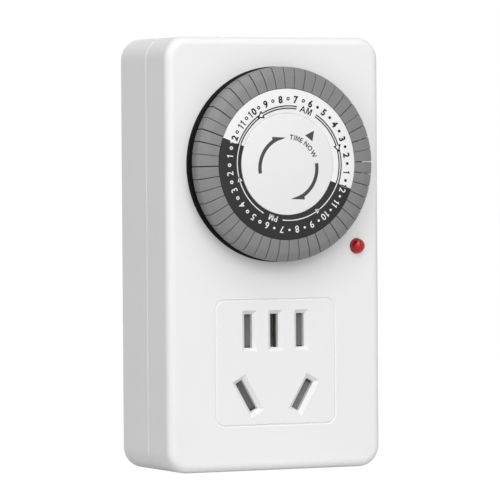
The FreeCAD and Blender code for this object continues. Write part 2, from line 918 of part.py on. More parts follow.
def motor_can():
    """Pressed can of the motor with its bush and two ears."""
    can = rod(motor_radius, motor_x, motor_z, deck_back_y, motor_back_y)
    inner = motor_radius - motor_wall
    can = can.cut(rod(inner, motor_x, motor_z, deck_back_y + motor_wall, motor_back_y))
    bush = rod(motor_bush_radius, motor_x, motor_z, deck_back_y - motor_bush_height, deck_back_y)
    added = [bush]
    for x, z in motor_ear_places():
        added.append(rod(motor_ear_radius, x, z, deck_back_y, deck_back_y + motor_ear_thickness))
        link_x = motor_x + (x - motor_x) * motor_ear_root
        link_z = motor_z + (z - motor_z) * motor_ear_root
        link = rod(motor_ear_radius, link_x, link_z, deck_back_y, deck_back_y + motor_ear_thickness)
        added.append(link.cut(rod(inner, motor_x, motor_z, deck_back_y, motor_back_y)))
    can = can.fuse(added)
    bore = motor_shaft_radius + running_clearance
    cuts = [rod(bore, motor_x, motor_z, deck_back_y - motor_bush_height, deck_back_y + motor_wall)]
    for x, z in motor_ear_places():
        bore = motor_screw_radius + screw_hole_clearance
        cuts.append(rod(bore, x, z, deck_back_y, deck_back_y + motor_ear_thickness))
    return can.cut(Part.makeCompound(cuts))


def motor_cover():
    """Rear lid of the motor with the riveted pin that the rotor turns on."""
    lid = rod(motor_radius, motor_x, motor_z, motor_back_y, motor_back_y + motor_cover_thickness)
    boss = rod(
        rotor_pin_boss_radius, motor_x, motor_z, motor_back_y - rotor_pin_boss_height, motor_back_y
    )
    pin_front = deck_back_y + motor_wall + rotor_end_gap
    pin = rod(rotor_pin_radius, motor_x, motor_z, pin_front, motor_back_y)
    return lid.fuse([boss, pin])


def motor_bobbin():
    """Spool of the motor's winding, seated on the can's floor."""
    front = deck_back_y + motor_wall
    outer = motor_radius - motor_wall - bobbin_clearance
    core = bobbin_inner_radius + bobbin_wall
    spool = tube(bobbin_inner_radius, core, motor_x, motor_z, front, motor_back_y)
    inner = bobbin_inner_radius
    back = motor_back_y
    flanges = [
        tube(inner, outer, motor_x, motor_z, front, front + bobbin_flange),
        tube(inner, outer, motor_x, motor_z, back - bobbin_flange, back),
    ]
    return spool.fuse(flanges)


def motor_coil():
    """Winding on the spool, as one body of turns."""
    front = deck_back_y + motor_wall + bobbin_flange
    core = bobbin_inner_radius + bobbin_wall + coil_clearance
    outer = motor_radius - motor_wall - bobbin_clearance - coil_margin
    return tube(core, outer, motor_x, motor_z, front, motor_back_y - bobbin_flange)


def motor_rotor():
    """Magnet rotor that turns on its fixed pin inside the spool."""
    bore = rotor_pin_radius + running_clearance
    front = deck_back_y + motor_wall + rotor_end_gap
    back = motor_back_y - rotor_pin_boss_height - running_clearance
    return tube(bore, rotor_radius, motor_x, motor_z, front, back)


def motor_screws():
    screws = []
    for x, z in motor_ear_places():
        seat = deck_back_y + motor_ear_thickness
        head = rod(motor_screw_head_radius, x, z, seat, seat + motor_screw_head_height)
        shank = rod(motor_screw_radius, x, z, seat - motor_screw_length, seat)
        screws.append(head.fuse(shank))
    return Part.makeCompound(screws)


def switch_lever():
    """Lever whose nose feels the tappets that are pushed in."""
    half = lever_width / 2.0
    x0 = nose_x - half
    x1 = nose_x + half
    hub = Part.makeCylinder(
        lever_hub_radius, lever_width, vec(x0, lever_pivot_y, lever_pivot_z), vec(1, 0, 0)
    )
    foot_z = lever_pivot_z - lever_foot_below
    web = box(x0, x1, lever_pivot_y, lever_back_y, foot_z, lever_pivot_z + lever_foot_above)
    arm = box(x0, x1, lever_front_y, lever_back_y, foot_z, lever_top_z)
    root = nose_width / 2.0
    tip = nose_tip_width / 2.0
    taper = nose_tip_y + nose_taper
    outline = [
        (-root, lever_front_y),
        (-root, taper),
        (-tip, nose_tip_y),
        (tip, nose_tip_y),
        (root, taper),
        (root, lever_front_y),
    ]
    z0 = nose_z - nose_height / 2.0
    points = [vec(nose_x + x, y, z0) for x, y in outline]
    nose = prism(points, vec(0, 0, nose_height))
    hole = Part.makeCylinder(
        lever_pin_radius + running_clearance,
        lever_width,
        vec(x0, lever_pivot_y, lever_pivot_z),
        vec(1, 0, 0),
    )
    return hub.fuse([web, arm, nose]).cut(hole)


def lever_pin():
    length = lever_width + 2 * (lug_gap + lug_thickness)
    start = vec(nose_x - length / 2.0, lever_pivot_y, lever_pivot_z)
    return Part.makeCylinder(lever_pin_radius, length, start, vec(1, 0, 0))


def switch_box(inset):
    half = switch_width / 2.0 - inset
    high = switch_height / 2.0 - inset
    return box(
        -half,
        half,
        switch_front_y + inset,
        switch_back_y - inset,
        switch_center_z - high,
        switch_center_z + high,
    )


def microswitch_case():
    """Hollow case of the snap switch."""
    case = switch_box(0.0).cut(switch_box(switch_wall))
    bore = plunger_radius + running_clearance
    cuts = [rod(bore, 0, switch_center_z, switch_front_y, switch_front_y + switch_wall)]
    inner_wall = switch_back_y - switch_wall
    for side in (-1, 1):
        cuts.append(terminal_block(side, terminal_clearance, inner_wall, switch_back_y))
    return case.cut(Part.makeCompound(cuts))


def terminal_block(side, grow, y0, y1):
    middle = side * terminal_x
    half = terminal_thickness / 2.0 + grow
    high = terminal_width / 2.0 + grow
    return box(middle - half, middle + half, y0, y1, switch_center_z - high, switch_center_z + high)


def microswitch_terminals():
    """Two brass terminals; the right one carries the fixed contact."""
    end = switch_back_y + terminal_length
    inner_wall = switch_back_y - switch_wall
    anchor = blade_front_y() + blade_thickness + blade_anchor_gap
    left = terminal_block(-1, 0.0, anchor, end)
    right = terminal_block(1, 0.0, inner_wall - terminal_inner_reach, end)
    return Part.makeCompound([left, right])


def blade_front_y():
    return switch_front_y + switch_wall + blade_depth - blade_thickness


def switch_blade():
    """Moving blade of the snap switch with its contact button."""
    front = blade_front_y()
    half = switch_width / 2.0 - switch_wall - blade_end_gap
    high = blade_width / 2.0
    blade = box(
        -half, half, front, front + blade_thickness, switch_center_z - high, switch_center_z + high
    )
    back = front + blade_thickness
    button = rod(button_radius, half - button_inset, switch_center_z, back, back + button_height)
    return blade.fuse(button)


def switch_plunger():
    """Plunger between the lever and the blade."""
    tip = lever_back_y + plunger_lever_gap
    end = blade_front_y() - plunger_blade_gap
    return rod(plunger_radius, 0, switch_center_z, tip, end)


def clip(place):
    """Two sprung leaves on a back strip, for one blade."""
    x, z, slant = place
    tip = strip_front_y - clip_length
    pinch_y = tip + clip_pinch_depth
    outer = clip_half_mouth
    inner = clip_half_mouth - contact_thickness
    narrow = clip_pinch
    wide = clip_pinch + clip_leaf_width
    flare = clip_flare
    right = [
        (outer, strip_back_y),
        (outer, strip_front_y),
        (wide, pinch_y),
        (wide + flare, tip + clip_tip_rise),
        (narrow + flare, tip),
        (narrow, pinch_y),
        (inner, strip_front_y),
    ]
    left = [(-t, y) for t, y in reversed(right)]
    points = [vec(t, y, -clip_height / 2.0) for t, y in right + left]
    leaves = prism(points, vec(0, 0, clip_height))
    leaves.rotate(vec(0, 0, 0), AXIS_Y, slant)
    leaves.translate(vec(x, 0, z))
    return leaves


def clip_pocket(place):
    """Room for one clip, open towards the front."""
    x, z, slant = place
    half = clip_half_mouth + clip_clearance
    high = clip_height / 2.0 + clip_clearance + clip_end_room
    pocket = box(-half, half, holder_front_y, strip_back_y, -high, high)
    pocket.rotate(vec(0, 0, 0), AXIS_Y, slant)
    pocket.translate(vec(x, 0, z))
    return pocket


def side_strip(side, z0, z1, y0, y1, grow):
    """Upright strip that joins the two clips of one side."""
    middle = side * (two_pin_x + strip_shift)
    half = strip_half_width + grow
    return box(middle - half, middle + half, y0, y1, z0, z1)


def contact_holder():
    """Insulating block that holds the three contacts and guides the shutters."""
    block = box(
        -holder_half_width,
        holder_half_width,
        holder_front_y,
        holder_back_y,
        holder_bottom_z,
        holder_top_z,
    )
    low = holder_bottom_z
    high = holder_top_z
    width = holder_half_width
    rails = [
        box(-width, -width + holder_rail, front_inner_y, holder_front_y, low, high),
        box(width - holder_rail, width, front_inner_y, holder_front_y, low, high),
        box(-width, width, front_inner_y, holder_front_y, low, low + holder_end_rail),
        box(-width, width, front_inner_y, holder_front_y, high - holder_end_rail, high),
        box(
            -width,
            width,
            front_inner_y,
            holder_front_y,
            shutter_divider_z - shutter_divider_width / 2.0,
            shutter_divider_z + shutter_divider_width / 2.0,
        ),
    ]
    block = block.fuse(rails)
    cuts = [clip_pocket(place) for place in slot_places().values()]
    for side in (-1, 1):
        top = high if side > 0 else earth_slot_z
        cuts.append(
            side_strip(side, line_slot_z, top, holder_front_y, strip_back_y, clip_clearance)
        )
    bore = blade_rivet_radius + rivet_clearance
    cuts.append(rod(bore, 0, earth_slot_z, strip_back_y, holder_back_y))
    cuts.append(rod(bore, -line_slot_x, line_slot_z, strip_back_y, holder_back_y))
    for cutter in cuts:
        block = block.cut(cutter)
    return block


def earth_contact():
    return clip(slot_places()["earth"])


def neutral_contact():
    """Left pair of clips, joined by their back strip."""
    strip = side_strip(-1, line_slot_z, earth_slot_z, strip_front_y, strip_back_y, 0.0)
    places = slot_places()
    return strip.fuse([clip(places["two_pin_left"]), clip(places["line_left"])])


def live_contact():
    """Right pair of clips, with the strip that runs on to the switch's terminal."""
    places = slot_places()
    bend_low = holder_top_z + live_bend_gap
    bend_high = bend_low + live_bend_width
    tab_x = -terminal_x + terminal_thickness / 2.0
    rise = side_strip(1, line_slot_z, bend_high, strip_front_y, strip_back_y, 0.0)
    right_x = two_pin_x + strip_shift + strip_half_width
    across = box(tab_x, right_x, strip_front_y, strip_back_y, bend_low, bend_high)
    top_z = switch_center_z + terminal_width / 2.0
    up = box(tab_x, tab_x + live_bend_width, strip_front_y, strip_back_y, bend_low, top_z)
    tab = box(
        tab_x,
        tab_x + contact_thickness,
        switch_back_y + feed_tab_gap,
        strip_back_y,
        switch_center_z - terminal_width / 2.0,
        top_z,
    )
    return rise.fuse([across, up, tab, clip(places["two_pin_right"]), clip(places["line_right"])])


def plug_blade(place, length):
    """Flat blade through the rear wall, with its seating flange."""
    points = slanted_rectangle(place, blade_pin_thickness, blade_pin_width, rear_inner_y)
    blade = prism(points, vec(0, wall + length, 0))
    blade = blade.makeChamfer(blade_tip_chamfer, edges_on_plane(blade, length))
    wide = blade_pin_thickness + 2 * blade_flange_margin
    tall = blade_pin_width + 2 * blade_flange_margin
    flange = prism(
        slanted_rectangle(place, wide, tall, flange_front_y), vec(0, blade_flange_thickness, 0)
    )
    return blade.fuse(flange)


def earth_blade():
    place = slot_places()["earth"]
    rivet = rod(blade_rivet_radius, place[0], place[1], strip_back_y, flange_front_y)
    return plug_blade(place, earth_blade_length).fuse(rivet)


def neutral_blade():
    place = slot_places()["line_left"]
    rivet = rod(blade_rivet_radius, place[0], place[1], strip_back_y, flange_front_y)
    return plug_blade(place, line_blade_length).fuse(rivet)


def live_blade():
    """Right blade with the strip that feeds the switch's other terminal."""
    blade = plug_blade(slot_places()["line_right"], line_blade_length)
    tab_x = terminal_x - terminal_thickness / 2.0
    top_z = switch_center_z + terminal_width / 2.0
    half = feed_width / 2.0
    front = flange_front_y + feed_sink
    plate = box(line_slot_x - half, line_slot_x + half, front, rear_inner_y, line_slot_z, top_z)
    foot = box(
        tab_x - contact_thickness,
        line_slot_x,
        front,
        rear_inner_y,
        switch_center_z - terminal_width / 2.0,
        top_z,
    )
    tab = box(
        tab_x - contact_thickness,
        tab_x,
        switch_back_y + feed_tab_gap,
        rear_inner_y,
        switch_center_z - terminal_width / 2.0,
        top_z,
    )
    return blade.fuse([plate, foot, tab])


def ramp(place):
    """Sloping block on a shutter, higher towards +X, under one slot."""
    x, z, slant = place
    reach = slot_length / 2.0 - ramp_root
    outline = [
        (-ramp_half_width, shutter_front_y),
        (ramp_half_width, shutter_front_y - ramp_height),
        (ramp_half_width + ramp_land, shutter_front_y - ramp_height),
        (ramp_half_width + ramp_land, shutter_front_y + ramp_root),
        (-ramp_half_width, shutter_front_y + ramp_root),
    ]
    points = [vec(t, y, -reach) for t, y in outline]
    wedge = prism(points, vec(0, 0, 2 * reach))
    wedge.rotate(vec(0, 0, 0), AXIS_Y, slant)
    wedge.translate(vec(x, 0, z))
    return wedge


def shutter(names, z0, z1, always_open):
    """Sliding plate that hides two slots until a plug's blades push it aside."""
    plate = box(shutter_left, shutter_right, shutter_front_y, shutter_back_y, z0, z1)
    plate = plate.fuse([ramp(slot_places()[name]) for name in names])
    for name in names:
        x, z, slant = slot_places()[name]
        place = (x - shutter_travel, z, slant)
        cutter = slot_prism(place, shutter_window_clearance, front_inner_y, shutter_back_y)
        plate = plate.cut(cutter)
    if always_open:
        x, z, slant = slot_places()[always_open]
        half = slot_width / 2.0 + shutter_window_clearance / 2.0
        high = slot_length / 2.0 + shutter_window_clearance
        left = x - half - shutter_travel
        window = box(left, x + half, front_inner_y, shutter_back_y, z - high, z + high)
        plate = plate.cut(window)
    return plate


def three_pin_shutter():
    low = holder_bottom_z + holder_end_rail + shutter_rail_gap
    high = shutter_divider_z - shutter_divider_width / 2.0 - shutter_rail_gap
    return shutter(("line_left", "line_right"), low, high, None)


def two_pin_shutter():
    low = shutter_divider_z + shutter_divider_width / 2.0 + shutter_rail_gap
    high = holder_top_z - holder_end_rail - shutter_rail_gap
    return shutter(("two_pin_left", "two_pin_right"), low, high, "earth")


def lamp_lens():
    """Domed red lamp in the front wall."""
    front = face_y - lamp_height + lamp_radius
    body = rod(lamp_radius, lamp_x, lamp_z, front, board_front_y)
    dome = Part.makeSphere(lamp_radius, vec(lamp_x, front, lamp_z))
    flange_y = front_inner_y + lamp_flange_gap
    flange = rod(lamp_flange_radius, lamp_x, lamp_z, flange_y, flange_y + lamp_flange_thickness)
    return body.fuse([dome, flange])


def lamp_board():
    """Small circuit board behind the lamp, on its post, with a resistor."""
    half = board_width / 2.0
    board = box(
        lamp_x - half,
        lamp_x + half,
        board_front_y,
        board_front_y + board_thickness,
        board_bottom_z,
        board_top_z,
    )
    back = board_front_y + board_thickness
    left = lamp_x - resistor_length / 2.0
    axis_y = back + resistor_radius - resistor_sink
    start = vec(left, axis_y, lamp_z - resistor_drop)
    resistor = Part.makeCylinder(resistor_radius, resistor_length, start, vec(1, 0, 0))
    return board.fuse(resistor)


NODES = {
    "front_housing": front_housing,
    "rear_housing": rear_housing,
    "case_screws": case_screws,
    "dial_wheel": dial_wheel,
    "dial_gear": dial_gear,
    "dial_face": dial_face,
    "centre_cap": centre_cap,
    "dial_post": dial_post,
    "gear_deck": gear_deck,
    "deck_screws": deck_screws,
    "idler_gear": idler_gear,
    "idler_axle": idler_axle,
    "motor_pinion": motor_pinion,
    "motor_can": motor_can,
    "motor_cover": motor_cover,
    "motor_bobbin": motor_bobbin,
    "motor_coil": motor_coil,
    "motor_rotor": motor_rotor,
    "motor_screws": motor_screws,
    "switch_lever": switch_lever,
    "lever_pin": lever_pin,
    "microswitch_case": microswitch_case,
    "microswitch_terminals": microswitch_terminals,
    "switch_blade": switch_blade,
    "switch_plunger": switch_plunger,
    "contact_holder": contact_holder,
    "earth_contact": earth_contact,
    "neutral_contact": neutral_contact,
    "live_contact": live_contact,
    "earth_blade": earth_blade,
    "neutral_blade": neutral_blade,
    "live_blade": live_blade,
    "three_pin_shutter": three_pin_shutter,
    "two_pin_shutter": two_pin_shutter,
    "lamp_lens": lamp_lens,
    "lamp_board": lamp_board,
}


def main():
    os.makedirs("parts", exist_ok=True)
    for name, make in NODES.items():
        make().exportStep("parts/" + name + ".step")
    for hour in range(hour_count):
        tappet_pair(hour).exportStep("parts/tappets_{:02d}.step".format(hour))


main()
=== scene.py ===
import logging
import math
from dataclasses import dataclass, field
from enum import Enum
from typing import Sequence

import bmesh
import bpy
import numpy as np
from mathutils import Matrix, Vector


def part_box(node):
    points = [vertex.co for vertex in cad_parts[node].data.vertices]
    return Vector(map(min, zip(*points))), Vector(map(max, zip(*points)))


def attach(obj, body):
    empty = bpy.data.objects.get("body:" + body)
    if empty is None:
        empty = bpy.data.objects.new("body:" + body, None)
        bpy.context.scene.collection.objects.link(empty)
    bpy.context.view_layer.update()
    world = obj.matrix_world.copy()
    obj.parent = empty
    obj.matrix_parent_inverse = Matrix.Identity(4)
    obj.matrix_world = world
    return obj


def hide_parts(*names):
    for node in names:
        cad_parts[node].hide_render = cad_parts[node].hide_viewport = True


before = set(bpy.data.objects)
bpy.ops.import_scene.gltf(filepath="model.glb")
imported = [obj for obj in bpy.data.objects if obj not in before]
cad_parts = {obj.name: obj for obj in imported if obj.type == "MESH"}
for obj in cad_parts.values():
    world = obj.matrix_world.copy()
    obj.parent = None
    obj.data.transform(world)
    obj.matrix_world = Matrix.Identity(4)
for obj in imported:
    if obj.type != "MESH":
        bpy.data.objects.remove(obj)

# Plug-in timer switch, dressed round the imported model.
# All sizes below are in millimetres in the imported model's frame: X right, Z up, Y to the wall.
# Clock angles run clockwise from the top of the dial, seen from the front, in degrees.

MM = 0.001
MERGE_DISTANCE = 1e-7
LOG = logging.getLogger("timer_switch")
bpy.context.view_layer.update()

# Hours and degrees of the dial, and the clock angles where its white half starts and ends
HOURS = 24
HOUR_STEP = 360.0 / HOURS
NOON_EDGE = 290.9
MIDNIGHT_EDGE = 109.4

Grid = np.ndarray
Socket = bpy.types.NodeSocket
Pair = tuple[float, float]
Spans = tuple[Pair, ...]
Faces = list[tuple[int, ...]]


class Body(str, Enum):
    """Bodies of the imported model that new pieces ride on."""

    CASE = "case"
    DIAL = "dial"


class Wrap(Enum):
    """How a grid of points closes on itself."""

    ROWS = 1
    COLUMNS = 2
    BOTH = 3


def node_box(node: str) -> tuple[np.ndarray, np.ndarray]:
    """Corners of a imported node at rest.

    Args:
        node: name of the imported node.

    Returns:
        Lowest and highest corner in millimetres.
    """
    low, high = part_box(node)
    return np.array(low) / MM, np.array(high) / MM


def shown(name: str, data: bpy.types.ID) -> bpy.types.Object:
    """New object for a mesh, lamp or camera, linked to the scene."""
    obj = bpy.data.objects.new(name, data)
    bpy.context.scene.collection.objects.link(obj)
    return obj


# Surfaces worked out as whole arrays


def grid_faces(rows: int, columns: int, wrap: Wrap, start: int = 0) -> Faces:
    """Quads between neighbouring points of a grid, row by row.

    Args:
        rows: points along the first parameter.
        columns: points along the second parameter.
        wrap: which parameters close on themselves.
        start: index of the grid's first point.

    Returns:
        Faces as tuples of four point indices.
    """
    last_row = rows if wrap in (Wrap.ROWS, Wrap.BOTH) else rows - 1
    last_column = columns if wrap in (Wrap.COLUMNS, Wrap.BOTH) else columns - 1
    i, j = np.meshgrid(np.arange(last_row), np.arange(last_column), indexing="ij")
    i_next = (i + 1) % rows
    j_next = (j + 1) % columns
    quads = np.stack(
        [i * columns + j, i * columns + j_next, i_next * columns + j_next, i_next * columns + j], -1
    )
    return [tuple(quad) for quad in (quads.reshape(-1, 4) + start).tolist()]


@dataclass
class Patchwork:
    """Points and faces of one piece, gathered from several surfaces."""

    points: list[np.ndarray] = field(default_factory=list)
    faces: Faces = field(default_factory=list)
    count: int = 0

    def add(self, points: np.ndarray, faces: Faces) -> None:
        """Add points with faces that count from the first of them."""
        self.faces += [tuple(index + self.count for index in face) for face in faces]
        self.points.append(points.reshape(-1, 3))
        self.count += self.points[-1].shape[0]

    def add_grid(self, grid: Grid, wrap: Wrap) -> None:
        """Add a grid of points of shape (rows, columns, 3)."""
        self.add(grid, grid_faces(grid.shape[0], grid.shape[1], wrap))

    def add_bar(self, grid: Grid) -> None:
        """Add a bar: a grid whose columns run round its section, with a flat face at each end."""
        self.add_grid(grid, Wrap.COLUMNS)
        for ring in (grid[0], grid[-1]):
            self.add(ring, [tuple(range(len(ring)))])

    def add_slab(self, outline: np.ndarray, front: float, back: float) -> None:
        """Add a flat plate with the outline (x, z), between two planes of constant Y."""
        self.add(*slab(outline, front, back))

    def piece(self, name: str, finish: "Finish", body: str, soft_angle: float = 30.0) -> bpy.types.Object:
        """Make the mesh object, with its normals outwards, and let it ride.

        Args:
            name: name of the piece.
            finish: finish that dresses it.
            body: body that it rides on.
            soft_angle: edges sharper than this, in degrees, stay crisp.

        Returns:
            The new object, at the origin.
        """
        mesh = bpy.data.meshes.new(name)
        mesh.from_pydata(np.concatenate(self.points) * MM, [], self.faces)
        work = bmesh.new()
        work.from_mesh(mesh)
        bmesh.ops.remove_doubles(work, verts=work.verts, dist=MERGE_DISTANCE)
        bmesh.ops.recalc_face_normals(work, faces=work.faces)
        work.to_mesh(mesh)
        work.free()
        mesh.polygons.foreach_set("use_smooth", np.ones(len(mesh.polygons), dtype=bool))
        mesh.set_sharp_from_angle(angle=math.radians(soft_angle))
        mesh.update()
        obj = shown(name, mesh)
        mesh.materials.append(finish.material())
        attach(obj, body)
        LOG.info("piece %s: %d faces, rides on %s", name, len(mesh.polygons), body)
        return obj


def soften(corners: Sequence[tuple[float, float, float]], steps: int = 4) -> np.ndarray:
    """Closed outline whose corners are rounded.

    Each corner (a, b, radius) becomes an arc that touches both of its sides: the arc's
    centre lies on the corner's bisector, at radius / sin(half the corner's angle).

    Args:
        corners: corner points with their radii.
        steps: arc segments at each corner.

    Returns:
        Points of shape (n, 2).
    """
    points = np.array([(a, b) for a, b, _ in corners])
    out = []
    for index, (_, _, radius) in enumerate(corners):
        here = points[index]
        before = points[index - 1] - here
        after = points[(index + 1) % len(points)] - here
        if radius <= 0:
            out.append(here[None, :])
            continue
        before = before / np.linalg.norm(before)
        after = after / np.linalg.norm(after)
        half = math.acos(float(np.clip(before @ after, -1, 1))) / 2
        bisector = (before + after) / np.linalg.norm(before + after)
        centre = here + bisector * radius / math.sin(half)
        first = here + before * radius / math.tan(half) - centre
        last = here + after * radius / math.tan(half) - centre
        turn = math.atan2(first[0] * last[1] - first[1] * last[0], float(first @ last))
        angles = np.linspace(0, turn, steps + 1)
        cosines, sines = np.cos(angles), np.sin(angles)
        arc = np.stack([first[0] * cosines - first[1] * sines, first[0] * sines + first[1] * cosines], -1)
        out.append(centre + arc)
    return np.concatenate(out)


def polar(radius: np.ndarray, clock: np.ndarray, centre: Sequence[float]) -> tuple[np.ndarray, np.ndarray]:
    """X and Z at a radius and clock angle (degrees) about a centre (x, z)."""
    turn = np.radians(clock)
    return centre[0] + radius * np.sin(turn), centre[1] + radius * np.cos(turn)


def turned(profile: np.ndarray, centre: Sequence[float], clock: np.ndarray) -> Grid:
    """Profile of (radius, y) points at each clock angle about an axis along Y through centre (x, z)."""
    x, z = polar(profile[None, :, 0], clock[:, None], centre)
    return np.stack([x, np.broadcast_to(profile[None, :, 1], x.shape), z], -1)


def moved(centre: Pair, shift: Pair) -> Pair:
    """A centre (x, z) moved by a shift."""
    return centre[0] + shift[0], centre[1] + shift[1]


def lathe(profile: np.ndarray, centre: Sequence[float], segments: int) -> Grid:
    """Profile of (radius, y) points carried all the way round."""
    return turned(profile, centre, np.linspace(0, 360, segments, endpoint=False))


def arc_slab(
    inner: np.ndarray, outer: np.ndarray, clock: np.ndarray,
    front: float, back: float, centre: Sequence[float]
) -> Grid:
    """Flat strip between two radii that vary with the clock angle, as a closed slab.

    Args:
        inner: inner radius at each clock angle.
        outer: outer radius at each clock angle.
        clock: clock angles in degrees.
        front: Y of the front.
        back: Y of the back.
        centre: centre (x, z).

    Returns:
        Grid whose columns run round the strip's section.
    """
    radius = np.stack([inner, outer, outer, inner], -1)
    x, z = polar(radius, clock[:, None], centre)
    y = np.broadcast_to(np.array([front, front, back, back]), x.shape)
    return np.stack([x, y, z], -1)


def slab(outline: np.ndarray, front: float, back: float) -> tuple[np.ndarray, Faces]:
    """Flat plate with the outline (x, z), between two planes of constant Y."""
    count = len(outline)
    levels = [np.insert(outline, 1, level, axis=1) for level in (front, back)]
    faces = grid_faces(2, count, Wrap.COLUMNS)
    faces += [tuple(range(count)), tuple(range(count, 2 * count))]
    return np.concatenate(levels), faces


# Finishes


# Noise values mostly lie between these two
NOISE_RANGE = (0.3, 0.7)


@dataclass
class NodeSheet:
    """Node tree of a material or of the sky, with short ways to add to it."""

    owner: bpy.types.Material | bpy.types.World
    output: str = "ShaderNodeOutputMaterial"

    def __post_init__(self) -> None:
        """Clear the tree and put in the output."""
        self.owner.use_nodes = True
        self.tree = self.owner.node_tree
        self.tree.nodes.clear()
        self.surface = self.add(self.output).inputs["Surface"]

    def add(self, kind: str, **settings) -> bpy.types.Node:
        """Add a node with its properties set."""
        node = self.tree.nodes.new(kind)
        for key, value in settings.items():
            setattr(node, key, value)
        return node

    def link(self, source: Socket, target: Socket) -> None:
        """Join two sockets."""
        self.tree.links.new(source, target)

    def principled(self) -> None:
        """Put in the shader of a solid surface, and the object's coordinates."""
        self.shader = self.add("ShaderNodeBsdfPrincipled")
        self.link(self.shader.outputs["BSDF"], self.surface)
        self.place = self.add("ShaderNodeTexCoord").outputs["Object"]

    def math(self, operation: str, *values) -> Socket:
        """Maths node on sockets or numbers; returns its output."""
        node = self.add("ShaderNodeMath", operation=operation)
        for index, value in enumerate(values):
            if isinstance(value, Socket):
                self.link(value, node.inputs[index])
            else:
                node.inputs[index].default_value = value
        return node.outputs[0]

    def stretched(self, vector: Socket, scale: Sequence[float]) -> Socket:
        """Coordinates scaled differently along each axis."""
        node = self.add("ShaderNodeMapping")
        node.inputs["Scale"].default_value = scale
        self.link(vector, node.inputs["Vector"])
        return node.outputs[0]

    def noise(self, vector: Socket, scale: float, detail: float = 3.0) -> Socket:
        """Noise value at a number of grains per metre."""
        node = self.add("ShaderNodeTexNoise")
        node.inputs["Scale"].default_value = scale
        node.inputs["Detail"].default_value = detail
        self.link(vector, node.inputs["Vector"])
        return node.outputs["Fac"]

    def between(self, fac: Socket, low: float, high: float) -> Socket:
        """Bring a noise value into a range."""
        node = self.add("ShaderNodeMapRange")
        ends = {"From Min": NOISE_RANGE[0], "From Max": NOISE_RANGE[1], "To Min": low, "To Max": high}
        for name, value in ends.items():
            node.inputs[name].default_value = value
        self.link(fac, node.inputs["Value"])
        return node.outputs["Result"]

    def mix(self, fac: Socket, *colours) -> Socket:
        """Colour between two colours, each a socket or red, green and blue."""
        node = self.add("ShaderNodeMix", data_type="RGBA")
        sockets = [socket for socket in node.inputs if socket.type == "RGBA"]
        for socket, colour in zip(sockets, colours):
            if isinstance(colour, Socket):
                self.link(colour, socket)
            else:
                socket.default_value = (*colour, 1.0)
        self.link(fac, node.inputs[0])
        return [socket for socket in node.outputs if socket.type == "RGBA"][0]

    def bump(self, height: Socket, depth: float) -> None:
        """Bump from a height of 0 to 1, its depth in metres, added to what is there."""
        node = self.add("ShaderNodeBump")
        node.inputs["Distance"].default_value = depth
        node.inputs["Strength"].default_value = 1.0
        self.link(height, node.inputs["Height"])
        normal = self.shader.inputs["Normal"]
        if normal.is_linked:
            self.link(normal.links[0].from_socket, node.inputs["Normal"])
        self.link(node.outputs["Normal"], normal)

    def ring_place(self, centre: Sequence[float]) -> tuple[Socket, Socket]:
        """Radius and turn (radians) about an axis along Y through centre (x, z) in metres."""
        split = self.add("ShaderNodeSeparateXYZ")
        self.link(self.place, split.inputs[0])
        x = self.math("SUBTRACT", split.outputs["X"], centre[0])
        z = self.math("SUBTRACT", split.outputs["Z"], centre[1])
        radius = self.math("SQRT", self.math("ADD", self.math("MULTIPLY", x, x), self.math("MULTIPLY", z, z)))
        return radius, self.math("ARCTAN2", x, z)


@dataclass(frozen=True)
class Finish:
    """Finish of a moulded, printed or metal surface.

    Each has a broad tone drift, a fine grain in its bump, and a gloss in patches that
    are finer than the drift. The scales are grains per metre, the depth is in metres.
    """

    name: str
    slot: str
    colour: tuple[float, float, float]
    drift: float = 0.02
    drift_scale: float = 60.0
    grain_scale: float = 3500.0
    grain_depth: float = 0.000005
    gloss: Pair = (0.4, 0.55)
    metallic: float = 0.0
    specular: float = 0.5
    patches: float = 5.0

    def material(self) -> bpy.types.Material:
        """The finish's material, made once."""
        made = bpy.data.materials.get(self.name)
        if made is None:
            made = bpy.data.materials.new(self.name)
            sheet = NodeSheet(made)
            sheet.principled()
            self.dress(sheet)
        return made

    def dress(self, sheet: NodeSheet) -> None:
        """Fill the node tree."""
        shader = sheet.shader
        shader.inputs["Metallic"].default_value = self.metallic
        shader.inputs["Specular IOR Level"].default_value = self.specular
        lighter = tuple(min(1.0, value * (1 + self.drift)) for value in self.colour)
        darker = tuple(value * (1 - self.drift) for value in self.colour)
        broad = sheet.noise(sheet.place, self.drift_scale)
        sheet.link(sheet.mix(sheet.between(broad, 0, 1), darker, lighter), shader.inputs["Base Color"])
        fine = sheet.noise(self.grain_place(sheet), self.grain_scale)
        patchy = sheet.noise(sheet.place, self.drift_scale * self.patches)
        sheet.link(sheet.between(patchy, *self.gloss), shader.inputs["Roughness"])
        sheet.bump(fine, self.grain_depth)

    def grain_place(self, sheet: NodeSheet) -> Socket:
        """Coordinates that the grain follows."""
        return sheet.place


@dataclass(frozen=True)
class DrawnFinish(Finish):
    """Metal whose fine lines run along one axis."""

    grain_scale: float = 9000.0
    grain_depth: float = 0.000003
    metallic: float = 1.0
    along: tuple[float, float, float] = (1.0, 0.04, 1.0)

    def grain_place(self, sheet: NodeSheet) -> Socket:
        """Coordinates squeezed along the lines."""
        return sheet.stretched(sheet.place, self.along)


